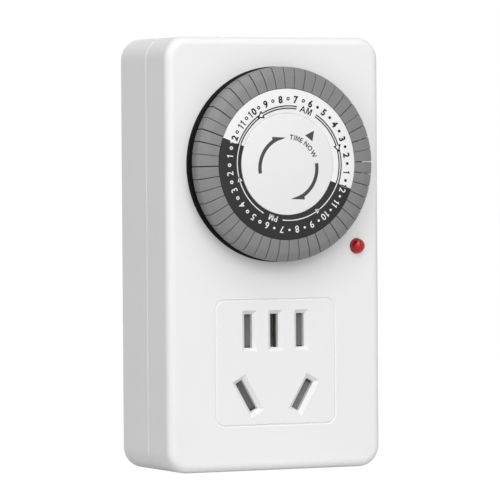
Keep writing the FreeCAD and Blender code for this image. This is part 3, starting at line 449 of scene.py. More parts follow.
@dataclass(frozen=True)
class SegmentFinish(Finish):
    """Moulded segments with faint lines that run outwards from the dial's axis, and painted shade on their
    sides near the case.
    """

    centre: Pair = (0.0, 0.0)
    line_count: float = 900.0
    line_breaks: float = 300.0
    line_depth: float = 0.000012
    line_tones: Pair = (0.94, 1.05)
    # Painted shade on the tappets' sides: darkest at the Y of foot, at a share of the colour, and gone a
    # given distance further from the case.
    foot: float = 0.0
    painted_shade_tone: float = 0.28
    painted_shade_fade: float = 3.2

    def toned(self, share: float) -> tuple[float, ...]:
        """The colour, lighter or darker by a factor."""
        return tuple(value * share for value in self.colour)

    def dress(self, sheet: NodeSheet) -> None:
        """Fill the node tree, with radial lines in colour and bump, and painted shade that darkens the sides
        near the case.
        """
        super().dress(sheet)
        radius, turn = sheet.ring_place((self.centre[0] * MM, self.centre[1] * MM))
        join = sheet.add("ShaderNodeCombineXYZ")
        sheet.link(sheet.math("MULTIPLY", turn, self.line_count / (2 * math.pi)), join.inputs["X"])
        sheet.link(sheet.math("MULTIPLY", radius, self.line_breaks), join.inputs["Y"])
        lines = sheet.noise(join.outputs[0], 1.0, 2.0)
        sheet.bump(lines, self.line_depth)
        # Painted shade: the colour darkens from the lines' tones to a dark share towards the case's face.
        split = sheet.add("ShaderNodeSeparateXYZ")
        sheet.link(sheet.place, split.inputs[0])
        height = sheet.math("SUBTRACT", self.foot * MM, split.outputs["Y"])
        share = sheet.add("ShaderNodeClamp")
        sheet.link(sheet.math("DIVIDE", height, self.painted_shade_fade * MM), share.inputs["Value"])
        streaks = sheet.mix(sheet.between(lines, 0.0, 1.0), *(self.toned(tone) for tone in self.line_tones))
        result = sheet.mix(share.outputs[0], self.toned(self.painted_shade_tone), streaks)
        sheet.link(result, sheet.shader.inputs["Base Color"])


@dataclass(frozen=True)
class LensFinish(Finish):
    """Clear coloured plastic that light enters."""

    transmission: float = 0.35
    refraction: float = 1.5

    def dress(self, sheet: NodeSheet) -> None:
        """Fill the node tree, with some light passing through."""
        super().dress(sheet)
        sheet.shader.inputs["Transmission Weight"].default_value = self.transmission
        sheet.shader.inputs["IOR"].default_value = self.refraction


CASE_WHITE = Finish(
    "case_white_plastic", "case_white", (0.845, 0.845, 0.85), drift=0.006,
    grain_scale=2600.0, grain_depth=0.000006, gloss=(0.42, 0.5), specular=0.35
)
CAP_WHITE = Finish(
    "cap_white_plastic", "cap_white", (0.81, 0.81, 0.815), drift=0.006,
    grain_depth=0.000003, gloss=(0.36, 0.44), specular=0.35
)
DAY_WHITE = Finish(
    "day_white_print", "print_ring", (0.85, 0.85, 0.85), drift=0.008,
    grain_scale=6000.0, grain_depth=0.000002, gloss=(0.45, 0.55), specular=0.3
)
NIGHT_DARK = Finish(
    "night_dark_print", "print_ring", (0.025, 0.025, 0.026), drift=0.12,
    grain_scale=6000.0, grain_depth=0.000002, gloss=(0.5, 0.6), specular=0.2
)
INK_BLACK = Finish(
    "black_ink", "print_ring", (0.012, 0.012, 0.013), drift=0.15,
    grain_scale=9000.0, grain_depth=0.000001, gloss=(0.5, 0.65), specular=0.1
)
INK_WHITE = Finish(
    "white_ink", "print_ring", (0.85, 0.85, 0.85), drift=0.03,
    grain_scale=9000.0, grain_depth=0.000001, gloss=(0.45, 0.6), specular=0.3
)
INK_BROWN = Finish(
    "brown_black_ink", "cap_white", (0.062, 0.052, 0.054), drift=0.15,
    grain_scale=9000.0, grain_depth=0.000001, specular=0.3
)
WHEEL_BLACK = Finish(
    "wheel_black_plastic", "wheel_black", (0.009, 0.009, 0.01), drift=0.12,
    grain_scale=3000.0, gloss=(0.55, 0.7), specular=0.2
)
LAMP_RED = LensFinish(
    "lamp_red_plastic", "lamp_red", (0.6, 0.003, 0.011), drift=0.16, drift_scale=1500.0,
    grain_scale=2500.0, grain_depth=0.00001, gloss=(0.05, 0.1), specular=0.3
)
BLADE_BRASS = DrawnFinish(
    "blade_brass", "blade_brass", (0.83, 0.66, 0.36), drift=0.06, drift_scale=140.0, gloss=(0.22, 0.34)
)
CONTACT_BRASS = DrawnFinish(
    "contact_brass", "contact_brass", (0.76, 0.68, 0.52), drift=0.08, drift_scale=200.0, gloss=(0.25, 0.38)
)
SHUTTER_GREY = Finish("shutter_grey_plastic", "shutter_grey", (0.125, 0.125, 0.128), drift=0.06)
SCREW_STEEL = DrawnFinish(
    "screw_steel", "screw_steel", (0.62, 0.62, 0.63), drift=0.08, drift_scale=400.0,
    grain_scale=8000.0, gloss=(0.25, 0.4)
)
MOTOR_STEEL = DrawnFinish(
    "motor_steel", "motor_steel", (0.6, 0.61, 0.62), drift=0.06, drift_scale=90.0,
    grain_scale=6000.0, grain_depth=0.000004, gloss=(0.3, 0.42), along=(0.04, 1.0, 1.0)
)
GEAR_NYLON = Finish(
    "gear_nylon", "gear_nylon", (0.78, 0.77, 0.7), drift=0.03, drift_scale=120.0,
    grain_scale=4000.0, grain_depth=0.000004, gloss=(0.4, 0.5)
)
DECK_PLASTIC = Finish(
    "deck_plastic", "deck_plastic", (0.68, 0.68, 0.65), drift=0.04, drift_scale=90.0,
    grain_scale=3000.0, grain_depth=0.000006, gloss=(0.45, 0.58)
)
SWITCH_BLACK = Finish("switch_black_plastic", "switch_black", (0.022, 0.022, 0.024), drift=0.1)
COIL_COPPER = DrawnFinish(
    "coil_enamel", "coil_copper", (0.42, 0.14, 0.05), drift=0.1, drift_scale=300.0, grain_scale=7000.0,
    grain_depth=0.00004, gloss=(0.25, 0.35), metallic=0.6, along=(0.05, 1.0, 0.05)
)
MAGNET_DARK = Finish(
    "magnet_dark", "magnet_dark", (0.05, 0.047, 0.045), drift=0.15, drift_scale=400.0,
    grain_scale=5000.0, grain_depth=0.00001, gloss=(0.5, 0.65), metallic=0.4
)
BOARD_GREEN = Finish(
    "board_green", "board_green", (0.03, 0.16, 0.06), drift=0.1, drift_scale=500.0,
    grain_scale=4000.0, grain_depth=0.000004, gloss=(0.3, 0.45)
)


@dataclass(frozen=True)
class Layout:
    """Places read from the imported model, in millimetres."""

    face_y: float
    dial: Pair
    ring_front: float
    cap_front: float
    lamp: Pair

    @staticmethod
    def read() -> "Layout":
        """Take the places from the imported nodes' boxes."""
        case_low, _ = node_box("front_housing")
        ring_low, ring_high = node_box("dial_face")
        cap_low, _ = node_box("centre_cap")
        lamp_low, lamp_high = node_box("lamp_lens")
        middle = (ring_low + ring_high) / 2
        lamp = (lamp_low + lamp_high) / 2
        return Layout(case_low[1], (middle[0], middle[2]), ring_low[1], cap_low[1], (lamp[0], lamp[2]))


# Printed letters


# Outlines (across, upward) of two letters that have to read at a small size, one capital high
DRAWN_LETTERS = {
    "1": (
        (0.17, 0.0), (0.34, 0.0), (0.34, 1.0), (0.22, 1.0),
        (0.14, 0.89), (0.0, 0.84), (0.0, 0.7), (0.17, 0.72)
    ),
    "M": (
        (0.0, 0.0), (0.15, 0.0), (0.15, 0.75), (0.36, 0.0), (0.5, 0.0), (0.71, 0.75), (0.71, 0.0),
        (0.86, 0.0), (0.86, 1.0), (0.62, 1.0), (0.43, 0.3), (0.24, 1.0), (0.0, 1.0)
    ),
}


@dataclass
class Letters:
    """Flat letters placed on the dial, tops outwards, read clockwise."""

    bold: float = 0.04
    thickness: float = 0.02
    blank: float = 0.42
    half_plate: float = 0.01
    ruler: float = 0.0

    def outline(self, text: str) -> tuple[np.ndarray, Faces]:
        """One letter as a thin plate, one unit of type size high.

        Args:
            text: the letter.

        Returns:
            Points (n, 3) with the letter's plane in X and Y, and faces.
        """
        if text in DRAWN_LETTERS and self.ruler:
            corners = np.array(DRAWN_LETTERS[text])
            corners = corners * self.ruler - (0.0, self.bold)
            points, faces = slab(corners, -self.half_plate, self.half_plate)
            return np.stack([points[:, 0], points[:, 2], -points[:, 1]], -1), faces
        curve = bpy.data.curves.new("letter", "FONT")
        curve.body = text
        curve.size = 1.0
        curve.offset = self.bold
        curve.resolution_u = 4
        curve.extrude = self.half_plate
        holder = bpy.data.objects.new("letter", curve)
        mesh = bpy.data.meshes.new_from_object(holder)
        points = np.empty(len(mesh.vertices) * 3)
        mesh.vertices.foreach_get("co", points)
        faces = [tuple(polygon.vertices) for polygon in mesh.polygons]
        bpy.data.objects.remove(holder)
        bpy.data.curves.remove(curve)
        bpy.data.meshes.remove(mesh)
        return points.reshape(-1, 3), faces

    def write(
        self, text: str, height: float, clock: float, radius: float, front: float,
        centre: Sequence[float], gap: float, squeeze: float
    ) -> list[tuple[float, np.ndarray, Faces]]:
        """Lay a word out along an arc, letter by letter.

        Args:
            text: the word; a blank leaves a space.
            height: height of a capital.
            clock: clock angle of the word's middle.
            radius: radius at mid height.
            front: Y of the printed front.
            centre: centre (x, z) of the arc.
            gap: room between letters as a share of the height.
            squeeze: width factor of the letters.

        Returns:
            For each letter its clock angle, points and faces.
        """
        if not self.ruler:
            points, _ = self.outline("H")
            self.ruler = float(np.ptp(points[:, 1]))
        scale = height / self.ruler
        glyphs = []
        total = 0.0
        for letter in text:
            if letter == " ":
                total += height * self.blank
                continue
            points, faces = self.outline(letter)
            low, high = points.min(0), points.max(0)
            width = (high[0] - low[0]) * scale * squeeze
            glyphs.append((points, faces, low, high, total, width))
            total += width + gap * height
        total -= gap * height
        placed = []
        for points, faces, low, high, start, width in glyphs:
            along = start + width / 2 - total / 2
            turn = clock + math.degrees(along / radius)
            across = (points[:, 0] - (low[0] + high[0]) / 2) * scale * squeeze
            upward = points[:, 1] * scale - height / 2
            sine, cosine = math.sin(math.radians(turn)), math.cos(math.radians(turn))
            x = centre[0] + (radius + upward) * sine + across * cosine
            z = centre[1] + (radius + upward) * cosine - across * sine
            depth = np.where(points[:, 2] > 0, front, front + self.thickness)
            placed.append((turn % 360, np.stack([x, depth, z], -1), faces))
        return placed


@dataclass
class DialPrint:
    """Hours, half-hour marks and arrows printed on the dial's ring."""

    place: Layout
    seven_mark: float = 7.2
    numeral_height: float = 1.6
    numeral_spacing: Pair = (0.26, 0.94)
    night_height: float = 1.5
    mark_radius: float = 14.35
    circle: Pair = (0.16, 0.4)
    circle_hours: tuple[int, int] = (6, 18)
    dot: Pair = (0.33, 0.27)
    word_heights: Pair = (1.46, 1.2556)
    word_spacing: Pair = (0.12, 1.04)
    am_place: Pair = (19.7, 12.55)
    pm_place: Pair = (198.3, 12.35)
    day_lines: Pair = (12.4, 12.91)
    day_line_width: float = 0.27
    day_spans: Spans = ((31.8, 70.9), (75.3, MIDNIGHT_EDGE), (330.4, 369.5), (NOON_EDGE, 326.2))
    day_heads: Spans = ((70.9, 76.2), (330.4, 325.1))
    day_barb: float = 0.72
    day_shift: Pair = (0.3, -0.17)
    night_line: float = 12.56
    night_line_width: float = 0.21
    night_spans: Spans = ((MIDNIGHT_EDGE, 187.5), (210.0, NOON_EDGE))
    night_heads: Spans = ((148.6, 143.2), (251.6, 257.0))
    night_barb: float = 0.55
    night_shift: Pair = (0.46, 0.26)
    arc_step: float = 1.5
    lift: float = 0.015
    sink: float = 0.01
    shift: Pair = (0.38, -0.04)
    letters: Letters = field(default_factory=Letters)
    thin_letters: Letters = field(default_factory=lambda: Letters(bold=0.008))

    @property
    def front(self) -> float:
        """Y of the ink's front."""
        return self.place.ring_front - self.lift

    @property
    def back(self) -> float:
        """Y of the ink's back, just inside the ring."""
        return self.place.ring_front + self.sink

    @property
    def centre(self) -> Pair:
        """Centre of the print."""
        return moved(self.place.dial, self.shift)

    def line_centre(self, clock: float) -> Pair:
        """Centre of the lines printed at a clock angle; the two halves are a little off each other."""
        return moved(self.place.dial, self.day_shift if self.by_day(clock) else self.night_shift)

    def by_day(self, clock: float) -> bool:
        """Whether a clock angle is on the white half."""
        return (clock - NOON_EDGE) % 360 < (MIDNIGHT_EDGE - NOON_EDGE) % 360

    def hour_clock(self, hour: float) -> float:
        """Clock angle of an hour; the hours run against the clock."""
        return (self.seven_mark - (hour - 7) * HOUR_STEP) % 360

    def ring(self, radius: float, half_width: float, start: float, end: float, sheet: Patchwork) -> None:
        """Add a line along an arc from one clock angle to a larger one."""
        count = max(3, int(abs(end - start) / self.arc_step))
        clock = np.linspace(start, end, count + 1)
        flat = np.full(clock.shape, radius)
        centre = self.line_centre((start + end) / 2)
        sheet.add_bar(arc_slab(flat - half_width, flat + half_width, clock, self.front, self.back, centre))

    def plate(self, corners: Sequence[Pair], sheet: Patchwork) -> None:
        """Add a flat shape given as (radius, clock angle) corners."""
        radius, clock = np.array(corners).T
        outline = np.stack(polar(radius, clock, self.line_centre(clock[-1])), -1)
        sheet.add_slab(outline, self.front, self.back)

    def mark(self, clock: float, hollow: bool, sheet: Patchwork) -> None:
        """Add a half-hour mark, a filled dot or a small circle."""
        x, z = polar(np.array(self.mark_radius), np.array(clock), self.centre)
        centre = (float(x), float(z))
        around = np.linspace(0, 360, 24, endpoint=False)
        if hollow:
            inner, outer = (np.full(around.shape, radius) for radius in self.circle)
            sheet.add_grid(arc_slab(inner, outer, around, self.front, self.back, centre), Wrap.BOTH)
        else:
            size = self.dot[0] if self.by_day(clock) else self.dot[1]
            outline = np.stack(polar(np.full(around.shape, size), around, centre), -1)
            sheet.add_slab(outline, self.front, self.back)

    def numeral(self, hour: int, sheets: Sequence[Patchwork]) -> None:
        """Add an hour's number to the black and the white print, each digit in the ink of its half."""
        text = str((hour - 1) % 12 + 1)
        for letters, height, day, sheet in (
            (self.letters, self.numeral_height, True, sheets[0]),
            (self.thin_letters, self.night_height, False, sheets[1]),
        ):
            for turn, points, faces in letters.write(
                text, height, self.hour_clock(hour), self.mark_radius, self.front, self.centre,
                *self.numeral_spacing
            ):
                if self.by_day(turn) == day:
                    sheet.add(points, faces)

    def build(self) -> None:
        """Make the black and the white print."""
        black, white = Patchwork(), Patchwork()
        for hour in range(HOURS):
            self.numeral(hour, (black, white))
            half = self.hour_clock(hour + 0.5)
            hollow = self.circle_hours[0] <= hour < self.circle_hours[1]
            self.mark(half, hollow, black if self.by_day(half) else white)
        for text, height, (clock, radius), sheet in zip(
            ("AM", "PM"), self.word_heights, (self.am_place, self.pm_place), (black, white)
        ):
            for _, points, faces in self.thin_letters.write(
                text, height, clock, radius, self.front, self.centre, *self.word_spacing
            ):
                sheet.add(points, faces)
        self.day_arrows(black)
        self.night_arrows(white)
        black.piece("dial_print_black", INK_BLACK, Body.DIAL.value)
        white.piece("dial_print_white", INK_WHITE, Body.DIAL.value)

    def day_arrows(self, sheet: Patchwork) -> None:
        """Double lines with outlined heads on both sides of AM."""
        half = self.day_line_width / 2
        low, high = self.day_lines
        middle = (low + high) / 2
        for radius in self.day_lines:
            for start, end in self.day_spans:
                self.ring(radius, half, start, end, sheet)
        for base, tip in self.day_heads:
            barbs = (middle - self.day_barb, base), (middle + self.day_barb, base)
            self.edge((low - half, base), barbs[0], sheet)
            self.edge((high + half, base), barbs[1], sheet)
            for barb in barbs:
                self.edge(barb, (middle, tip), sheet)

    def edge(self, first: Pair, second: Pair, sheet: Patchwork) -> None:
        """Add a thin straight line between two (radius, clock angle) points."""
        centre = self.line_centre(first[1])
        ends = np.array([polar(np.array(r), np.array(c), centre) for r, c in (first, second)])
        along = (ends[1] - ends[0]) / np.linalg.norm(ends[1] - ends[0])
        side = np.array([-along[1], along[0]]) * self.day_line_width / 2
        tips = along * self.day_line_width / 2
        outline = np.array(
            [ends[0] - side - tips, ends[1] - side + tips, ends[1] + side + tips, ends[0] + side - tips]
        )
        sheet.add_slab(outline, self.front, self.back)

    def night_arrows(self, sheet: Patchwork) -> None:
        """Single line with solid heads on both sides of PM."""
        for start, end in self.night_spans:
            self.ring(self.night_line, self.night_line_width / 2, start, end, sheet)
        low, high = self.night_line - self.night_barb, self.night_line + self.night_barb
        for base, tip in self.night_heads:
            self.plate([(low, base), (high, base), (self.night_line, tip)], sheet)


@dataclass
class DialFace:
    """Printed ring in two halves, white for the day and dark for the night."""

    place: Layout
    inner: float = 11.18
    outer: float = 16.52
    thickness: float = 0.3
    edge: float = 0.05

    def half(self, name: str, start: float, end: float, finish: Finish) -> None:
        """Half a ring: a softened section carried from one clock angle to the other."""
        front = self.place.ring_front
        back = front + self.thickness
        section = soften(
            [(self.inner, back, 0), (self.inner, front, self.edge), (self.outer, front, self.edge),
             (self.outer, back, 0)], 3
        )
        sheet = Patchwork()
        sheet.add_bar(turned(section, self.place.dial, np.linspace(start, end, 121)))
        piece = sheet.piece(name, finish, Body.DIAL.value)
        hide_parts("dial_face")

    def build(self) -> None:
        """Make both halves."""
        self.half("dial_face_day", NOON_EDGE - 360, MIDNIGHT_EDGE, DAY_WHITE)
        self.half("dial_face_night", MIDNIGHT_EDGE, NOON_EDGE, NIGHT_DARK)


@dataclass
class Segments:
    """The 48 push-in tappets, two to a node, each a softened section carried along an arc."""

    place: Layout
    seven_mark: float = 6.3
    inner: float = 16.6
    outer: float = 21.35
    top: float = 6.3
    shoulder: float = 19.6
    face_drop: float = 0.32
    shoulder_drop: float = 1.2
    skirt_bottom: float = 2.6
    skirt: float = 0.7
    roof: float = 1.5
    inner_round: float = 0.12
    shoulder_round: float = 2.4
    corner_round: float = 0.4
    foot_rounds: Pair = (0.1, 0.05)
    sweep: float = 7.04
    flat_share: float = 0.7
    edge: float = 0.07
    stem: Pair = (17.6, 18.8)
    stem_half: float = 0.6
    stem_tip_half: float = 0.25
    stem_sink: float = 0.1
    foot: float = -1.0
    taper: float = 0.8
    unevenness: float = 0.04
    lean: float = 0.13
    seed: int = 24

    def section(self) -> np.ndarray:
        """Closed outline of (radius, height), its outer shoulder well rounded."""
        under = self.top - self.roof
        inner_skirt = self.outer - self.skirt
        return soften(
            [(self.inner, self.top, self.inner_round),
             (self.shoulder, self.top - self.face_drop, self.shoulder_round),
             (self.outer, self.top - self.shoulder_drop, self.corner_round),
             (self.outer, self.skirt_bottom, self.foot_rounds[0]),
             (inner_skirt, self.skirt_bottom, self.foot_rounds[1]),
             (inner_skirt, under, 0), (self.inner, under, 0)], 5
        )

    def cap(self, clock: float, rise: float, sheet: Patchwork) -> None:
        """Add one tappet.

        The section is drawn in towards its own middle by edge * (1 - sin t) where the arc ends,
        while the clock angle moves by edge * (1 - cos t), which rounds both ends.
        """
        outline = self.section()
        before = np.roll(outline, 1, axis=0)
        after = np.roll(outline, -1, axis=0)
        along = after - before
        along = along / np.linalg.norm(along, axis=1, keepdims=True)
        inwards = np.stack([along[:, 1], -along[:, 0]], -1)
        turn = np.linspace(0, math.pi / 2, 4)
        half = self.sweep / 2
        step = np.degrees(self.edge * (1 - np.cos(turn)) / ((self.inner + self.outer) / 2))
        flat = np.linspace(-half * self.flat_share, half * self.flat_share, 5)
        spread = np.concatenate([-half + step, flat, (half - step)[::-1]])
        drawn_in = self.edge * (1 - np.sin(turn))
        inset = np.concatenate([drawn_in, np.zeros(flat.shape), drawn_in[::-1]])
        points = outline[None, :, :] + inwards[None, :, :] * inset[:, None, None]
        x, z = polar(points[..., 0], clock + spread[:, None], self.place.dial)
        sheet.add_bar(np.stack([x, self.place.face_y - points[..., 1] - rise, z], -1))

    def leg(self, clock: float, rise: float, sheet: Patchwork) -> None:
        """Add the stem with its tapered foot, an outline across the arc carried outwards."""
        half, tip = self.stem_half, self.stem_tip_half
        under = self.top - self.roof + self.stem_sink
        bend = self.foot + self.taper
        outline = np.array(
            [(-half, under), (half, under), (half, bend), (tip, self.foot), (-tip, self.foot), (-half, bend)]
        )
        turn = math.radians(clock)
        radius = np.array(self.stem)[:, None]
        x = self.place.dial[0] + radius * math.sin(turn) + outline[None, :, 0] * math.cos(turn)
        z = self.place.dial[1] + radius * math.cos(turn) - outline[None, :, 0] * math.sin(turn)
        y = np.broadcast_to(self.place.face_y - outline[None, :, 1] - rise, x.shape)
        sheet.add_bar(np.stack([x, y, z], -1))

    def build(self, finish: Finish) -> None:
        """Make the 24 pairs, each a little uneven as moulded pieces are."""
        chance = np.random.default_rng(self.seed)
        for hour in range(HOURS):
            sheet = Patchwork()
            mark = self.seven_mark - (hour - 7) * HOUR_STEP
            for half in (0.5, 1.5):
                rise, lean = chance.uniform(-1, 1, 2) * (self.unevenness, self.lean)
                clock = mark - half * HOUR_STEP / 2 + lean
                self.cap(clock, rise, sheet)
                self.leg(clock, rise, sheet)
            node = "tappets_%02d" % hour
            piece = sheet.piece("segments_%02d" % hour, finish, node, 35.0)
            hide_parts(node)


@dataclass
class DialFlange:
    """Thin black flange at the foot of the dial, just clear of the case's face."""

    place: Layout
    inner: float = 20.1
    outer: float = 21.48
    heights: Pair = (0.03, 0.13)
    rounds: Pair = (0.02, 0.04)

    def build(self) -> None:
        """Turn the section (radius, y) about the dial's axis."""
        back, front = (self.place.face_y - height for height in self.heights)
        section = soften(
            [(self.inner, back, 0), (self.inner, front, self.rounds[0]),
             (self.outer, front, self.rounds[1]), (self.outer, back, self.rounds[0])], 3
        )
        sheet = Patchwork()
        sheet.add_grid(lathe(section, self.place.dial, 180), Wrap.BOTH)
        sheet.piece("dial_flange", WHEEL_BLACK, Body.DIAL.value)


@dataclass
class CentreCap:
    """Fixed cap as a turned disc with a softened rim."""

    place: Layout
    radius: float = 11.13
    thickness: float = 1.2
    rim: float = 0.16
    back_rim: float = 0.1

    def build(self) -> None:
        """Turn the section (radius, y) about the dial's axis."""
        front = self.place.cap_front
        back = front + self.thickness
        section = soften(
            [(0.0, front, 0), (self.radius, front, self.rim),
             (self.radius, back, self.back_rim), (0.0, back, 0)], 6
        )
        sheet = Patchwork()
        sheet.add_grid(lathe(section, self.place.dial, 160), Wrap.ROWS)
        piece = sheet.piece("centre_cap_disc", CAP_WHITE, Body.CASE.value)
        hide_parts("centre_cap")


@dataclass
class LampLens:
    """Domed lamp: a half ball on a short round body."""

    place: Layout
    radius: float = 1.65
    proud: float = 1.95
    depth: float = 4.0

    def build(self) -> None:
        """Turn the section (radius, y); the dome is radius * sin t, radius * cos t."""
        base = self.place.face_y - self.proud + self.radius
        end = self.place.face_y + self.depth
        turn = np.linspace(0, math.pi / 2, 20)
        dome = np.stack([self.radius * np.sin(turn), base - self.radius * np.cos(turn)], -1)
        tail = np.array([(self.radius, end), (0.0, end)])
        sheet = Patchwork()
        sheet.add_grid(lathe(np.concatenate([dome, tail]), self.place.lamp, 64), Wrap.ROWS)
        piece = sheet.piece("lamp_dome", LAMP_RED, Body.CASE.value, 40.0)
        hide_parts("lamp_lens")


@dataclass
class CapPrint:
    """Pointer, words and turning arrows printed on the fixed cap."""

    place: Layout
    shift: Pair = (0.2, -0.9)
    lift: float = 0.015
    sink: float = 0.01
    band: Pair = (6.52, 7.34)
    tail: float = 261.0
    barb: Pair = (7.93, 330.2)
    barb_gap: float = 2.0
    tip: Pair = (6.74, 355.5)
    tip_gap: float = 14.0
    word_height: float = 1.1
    word_radius: float = 6.9
    word_clock: float = 36.4
    word_spacing: Pair = (0.17, 0.98)
    pointer_clock: float = 37.5
    pointer_half: float = 7.8
    pointer: Pair = (10.35, 8.29)
    letters: Letters = field(default_factory=lambda: Letters(bold=0.03))

    def build(self) -> None:
        """Make the cap's print."""
        front = self.place.cap_front - self.lift
        back = self.place.cap_front + self.sink
        centre = moved(self.place.dial, self.shift)
        sheet = Patchwork()
        outer = np.linspace(self.tail, self.barb[1] - self.barb_gap, 30)
        inner = np.linspace(self.tip[1] - self.tip_gap, self.tail, 36)
        low, high = (np.full(arc.shape, radius) for arc, radius in zip((inner, outer), self.band))
        radius = np.concatenate([high, [self.barb[0], self.tip[0]], low])
        clock = np.concatenate([outer, [self.barb[1], self.tip[1]], inner])
        for turn in (0.0, 180.0):
            sheet.add_slab(np.stack(polar(radius, clock + turn, centre), -1), front, back)
        tip, base = self.pointer
        corners = self.pointer_clock + np.array([0.0, self.pointer_half, -self.pointer_half])
        sheet.add_slab(np.stack(polar(np.array([tip, base, base]), corners, centre), -1), front, back)
        for _, points, faces in self.letters.write(
            "TIME NOW", self.word_height, self.word_clock, self.word_radius, front, centre, *self.word_spacing
        ):
            sheet.add(points, faces)
        sheet.piece("cap_print", INK_BROWN, Body.CASE.value)


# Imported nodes


@dataclass
class PackedNodes:
    """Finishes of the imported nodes, also of those that a new piece stands for."""

    segment: Finish

    def finishes(self) -> dict[str, Finish]:
        """Finish of each node, by name; the tappets share one."""
        groups: list[tuple[Finish, str]] = [
            (CASE_WHITE, "front_housing rear_housing"),
            (CAP_WHITE, "centre_cap"),
            (DAY_WHITE, "dial_face"),
            (WHEEL_BLACK, "dial_wheel"),
            (GEAR_NYLON, "dial_gear idler_gear motor_pinion"),
            (DECK_PLASTIC, "gear_deck motor_bobbin contact_holder microswitch_case dial_post"),
            (SCREW_STEEL, "case_screws deck_screws motor_screws idler_axle lever_pin"),
            (MOTOR_STEEL, "motor_can motor_cover"),
            (COIL_COPPER, "motor_coil"),
            (MAGNET_DARK, "motor_rotor"),
            (SWITCH_BLACK, "switch_lever switch_plunger"),
            (CONTACT_BRASS, "earth_contact neutral_contact live_contact microswitch_terminals switch_blade"),
            (BLADE_BRASS, "earth_blade neutral_blade live_blade"),
            (SHUTTER_GREY, "three_pin_shutter two_pin_shutter"),
            (LAMP_RED, "lamp_lens"),
            (BOARD_GREEN, "lamp_board"),
            (self.segment, " ".join("tappets_%02d" % hour for hour in range(HOURS))),
        ]
        return {name: finish for finish, names in groups for name in names.split()}

    def build(self) -> None:
        """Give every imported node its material."""
        finishes = self.finishes()
        for name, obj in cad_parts.items():
            finish = finishes[name]
            if not obj.material_slots:
                obj.data.materials.append(finish.material())
            for slot in obj.material_slots:
                slot.material = finish.material()
            LOG.info("node %s: %s", name, finish.name)


# Studio


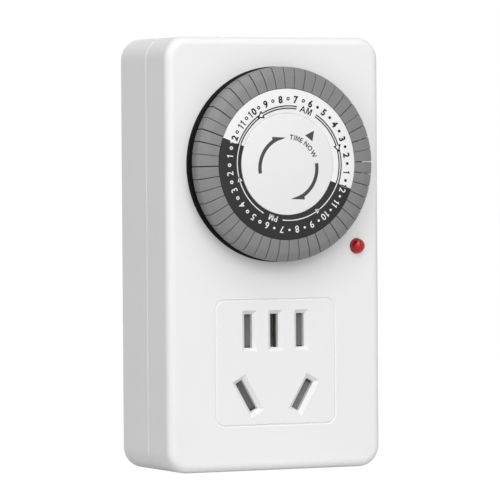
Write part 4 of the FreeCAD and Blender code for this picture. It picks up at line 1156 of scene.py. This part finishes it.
@dataclass
class Studio:
    """Floor, lamps, sky and camera.

    Camera place, floor gap and floor reach are in millimetres. What the camera sees of the
    floor is mostly a glow of its own, so that it is as white as the sky.
    """

    floor_gap: float = 0.05
    floor_reach: float = 4000.0
    floor_tone: float = 0.62
    floor_glow: float = 1.13
    glow_share: float = 0.87
    camera_place: tuple[float, float, float] = (-406.66, -858.43, 48.98)
    yaw: float = 25.67
    pitch: float = 1.29
    roll: float = -0.37
    lens: float = 303.3
    ambient: float = 0.25
    aim: tuple[float, float, float] = (0.0, 0.0, 0.03)

    def camera(self) -> None:
        """Put the camera where the photograph was taken from."""
        yaw, pitch, roll = (math.radians(value) for value in (self.yaw, self.pitch, self.roll))
        forward = Vector((math.sin(yaw) * math.cos(pitch), math.cos(yaw) * math.cos(pitch), -math.sin(pitch)))
        right = Vector((math.cos(yaw), -math.sin(yaw), 0))
        up = right.cross(forward)
        turned_right = right * math.cos(roll) + up * math.sin(roll)
        turned_up = up * math.cos(roll) - right * math.sin(roll)
        turn = Matrix((turned_right, turned_up, -forward)).transposed()
        data = bpy.data.cameras.new("camera")
        data.lens = self.lens
        data.sensor_width = 36.0
        data.clip_start = 0.01
        data.clip_end = 20.0
        camera = shown("camera", data)
        camera.matrix_world = Matrix.Translation(Vector(self.camera_place) * MM) @ turn.to_4x4()
        bpy.context.scene.camera = camera

    def lamp(self, name: str, place: Sequence[float], size: Pair, power: float) -> None:
        """Add a soft lamp aimed at the case; place and size (width, height) in metres, power in watts."""
        data = bpy.data.lights.new(name, "AREA")
        data.shape = "RECTANGLE"
        data.size, data.size_y = size
        data.energy = power
        lamp = shown(name, data)
        turn = (Vector(self.aim) - Vector(place)).to_track_quat("-Z", "Y")
        lamp.matrix_world = Matrix.Translation(Vector(place)) @ turn.to_matrix().to_4x4()

    def seen_directly(self, sheet: NodeSheet) -> Socket:
        """1 for camera, glossy and transmission rays."""
        rays = sheet.add("ShaderNodeLightPath").outputs
        total = sheet.math("MAXIMUM", rays["Is Camera Ray"], rays["Is Glossy Ray"])
        return sheet.math("MAXIMUM", total, rays["Is Transmission Ray"])

    def blend(self, sheet: NodeSheet, share: Socket, *shaders: bpy.types.Node) -> None:
        """Mix two shaders into the output by a share of the second."""
        mix = sheet.add("ShaderNodeMixShader")
        for source, target in zip((share, *(shader.outputs[0] for shader in shaders)), mix.inputs):
            sheet.link(source, target)
        sheet.link(mix.outputs[0], sheet.surface)

    def sky(self) -> None:
        """White background for what is seen, a softer grey as light."""
        world = bpy.data.worlds.new("studio")
        bpy.context.scene.world = world
        sheet = NodeSheet(world, "ShaderNodeOutputWorld")
        soft, white = (sheet.add("ShaderNodeBackground") for _ in range(2))
        for shader, strength in ((soft, self.ambient), (white, 1.0)):
            shader.inputs["Color"].default_value = (1.0, 1.0, 1.0, 1.0)
            shader.inputs["Strength"].default_value = strength
        self.blend(sheet, self.seen_directly(sheet), soft, white)

    def floor(self) -> None:
        """Plain pale floor under the case; what is seen of it is near white."""
        level = node_box("front_housing")[0][2] - self.floor_gap
        mesh = bpy.data.meshes.new("floor")
        sides = ((-1, -1), (1, -1), (1, 1), (-1, 1))
        corners = np.array([(x * self.floor_reach, y * self.floor_reach, level) for x, y in sides]) * MM
        mesh.from_pydata(corners, [], [(0, 1, 2, 3)])
        floor = shown("floor", mesh)
        material = bpy.data.materials.new("floor_white")
        sheet = NodeSheet(material)
        matt = sheet.add("ShaderNodeBsdfDiffuse")
        matt.inputs["Color"].default_value = (*[self.floor_tone] * 3, 1.0)
        glow = sheet.add("ShaderNodeEmission")
        glow.inputs["Strength"].default_value = self.floor_glow
        share = sheet.math("MULTIPLY", self.seen_directly(sheet), self.glow_share)
        self.blend(sheet, share, matt, glow)
        mesh.materials.append(material)

    def build(self) -> None:
        """Set up the studio."""
        self.camera()
        self.sky()
        self.floor()
        self.lamp("key_lamp", (-0.25, -0.95, 1.0), (1.0, 1.0), 4.6)
        self.lamp("front_lamp", (-0.1, -1.4, 0.25), (1.2, 1.2), 7.8)
        self.lamp("strip_lamp", (0.0, -1.18, 0.6), (0.06, 0.9), 1.5)
        self.lamp("top_lamp", (0.0, -0.45, 1.3), (0.9, 0.9), 4.2)
        self.lamp("side_lamp", (-1.1, -0.6, 0.4), (0.9, 0.9), 4.0)
        bpy.context.scene.view_settings.view_transform = "Standard"


def segment_finish(place: Layout, painted_shade_gap: float = 1.6) -> SegmentFinish:
    """Grey of the tappets, its lines about the dial's axis, with painted shade that is darkest at a gap off
    the case's face.
    """
    return SegmentFinish(
        "segment_grey_plastic", "tappet_grey", (0.205, 0.205, 0.207), drift=0.03,
        gloss=(0.38, 0.5), specular=0.45, centre=place.dial, foot=place.face_y - painted_shade_gap
    )


def main() -> None:
    """Build the studio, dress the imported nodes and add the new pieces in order."""
    logging.basicConfig(level=logging.INFO, format="%(message)s")
    place = Layout.read()
    Studio().build()
    segment = segment_finish(place)
    PackedNodes(segment).build()
    DialFace(place).build()
    DialPrint(place).build()
    Segments(place).build(segment)
    DialFlange(place).build()
    CentreCap(place).build()
    CapPrint(place).build()
    LampLens(place).build()


if __name__ == "__main__":
    main()
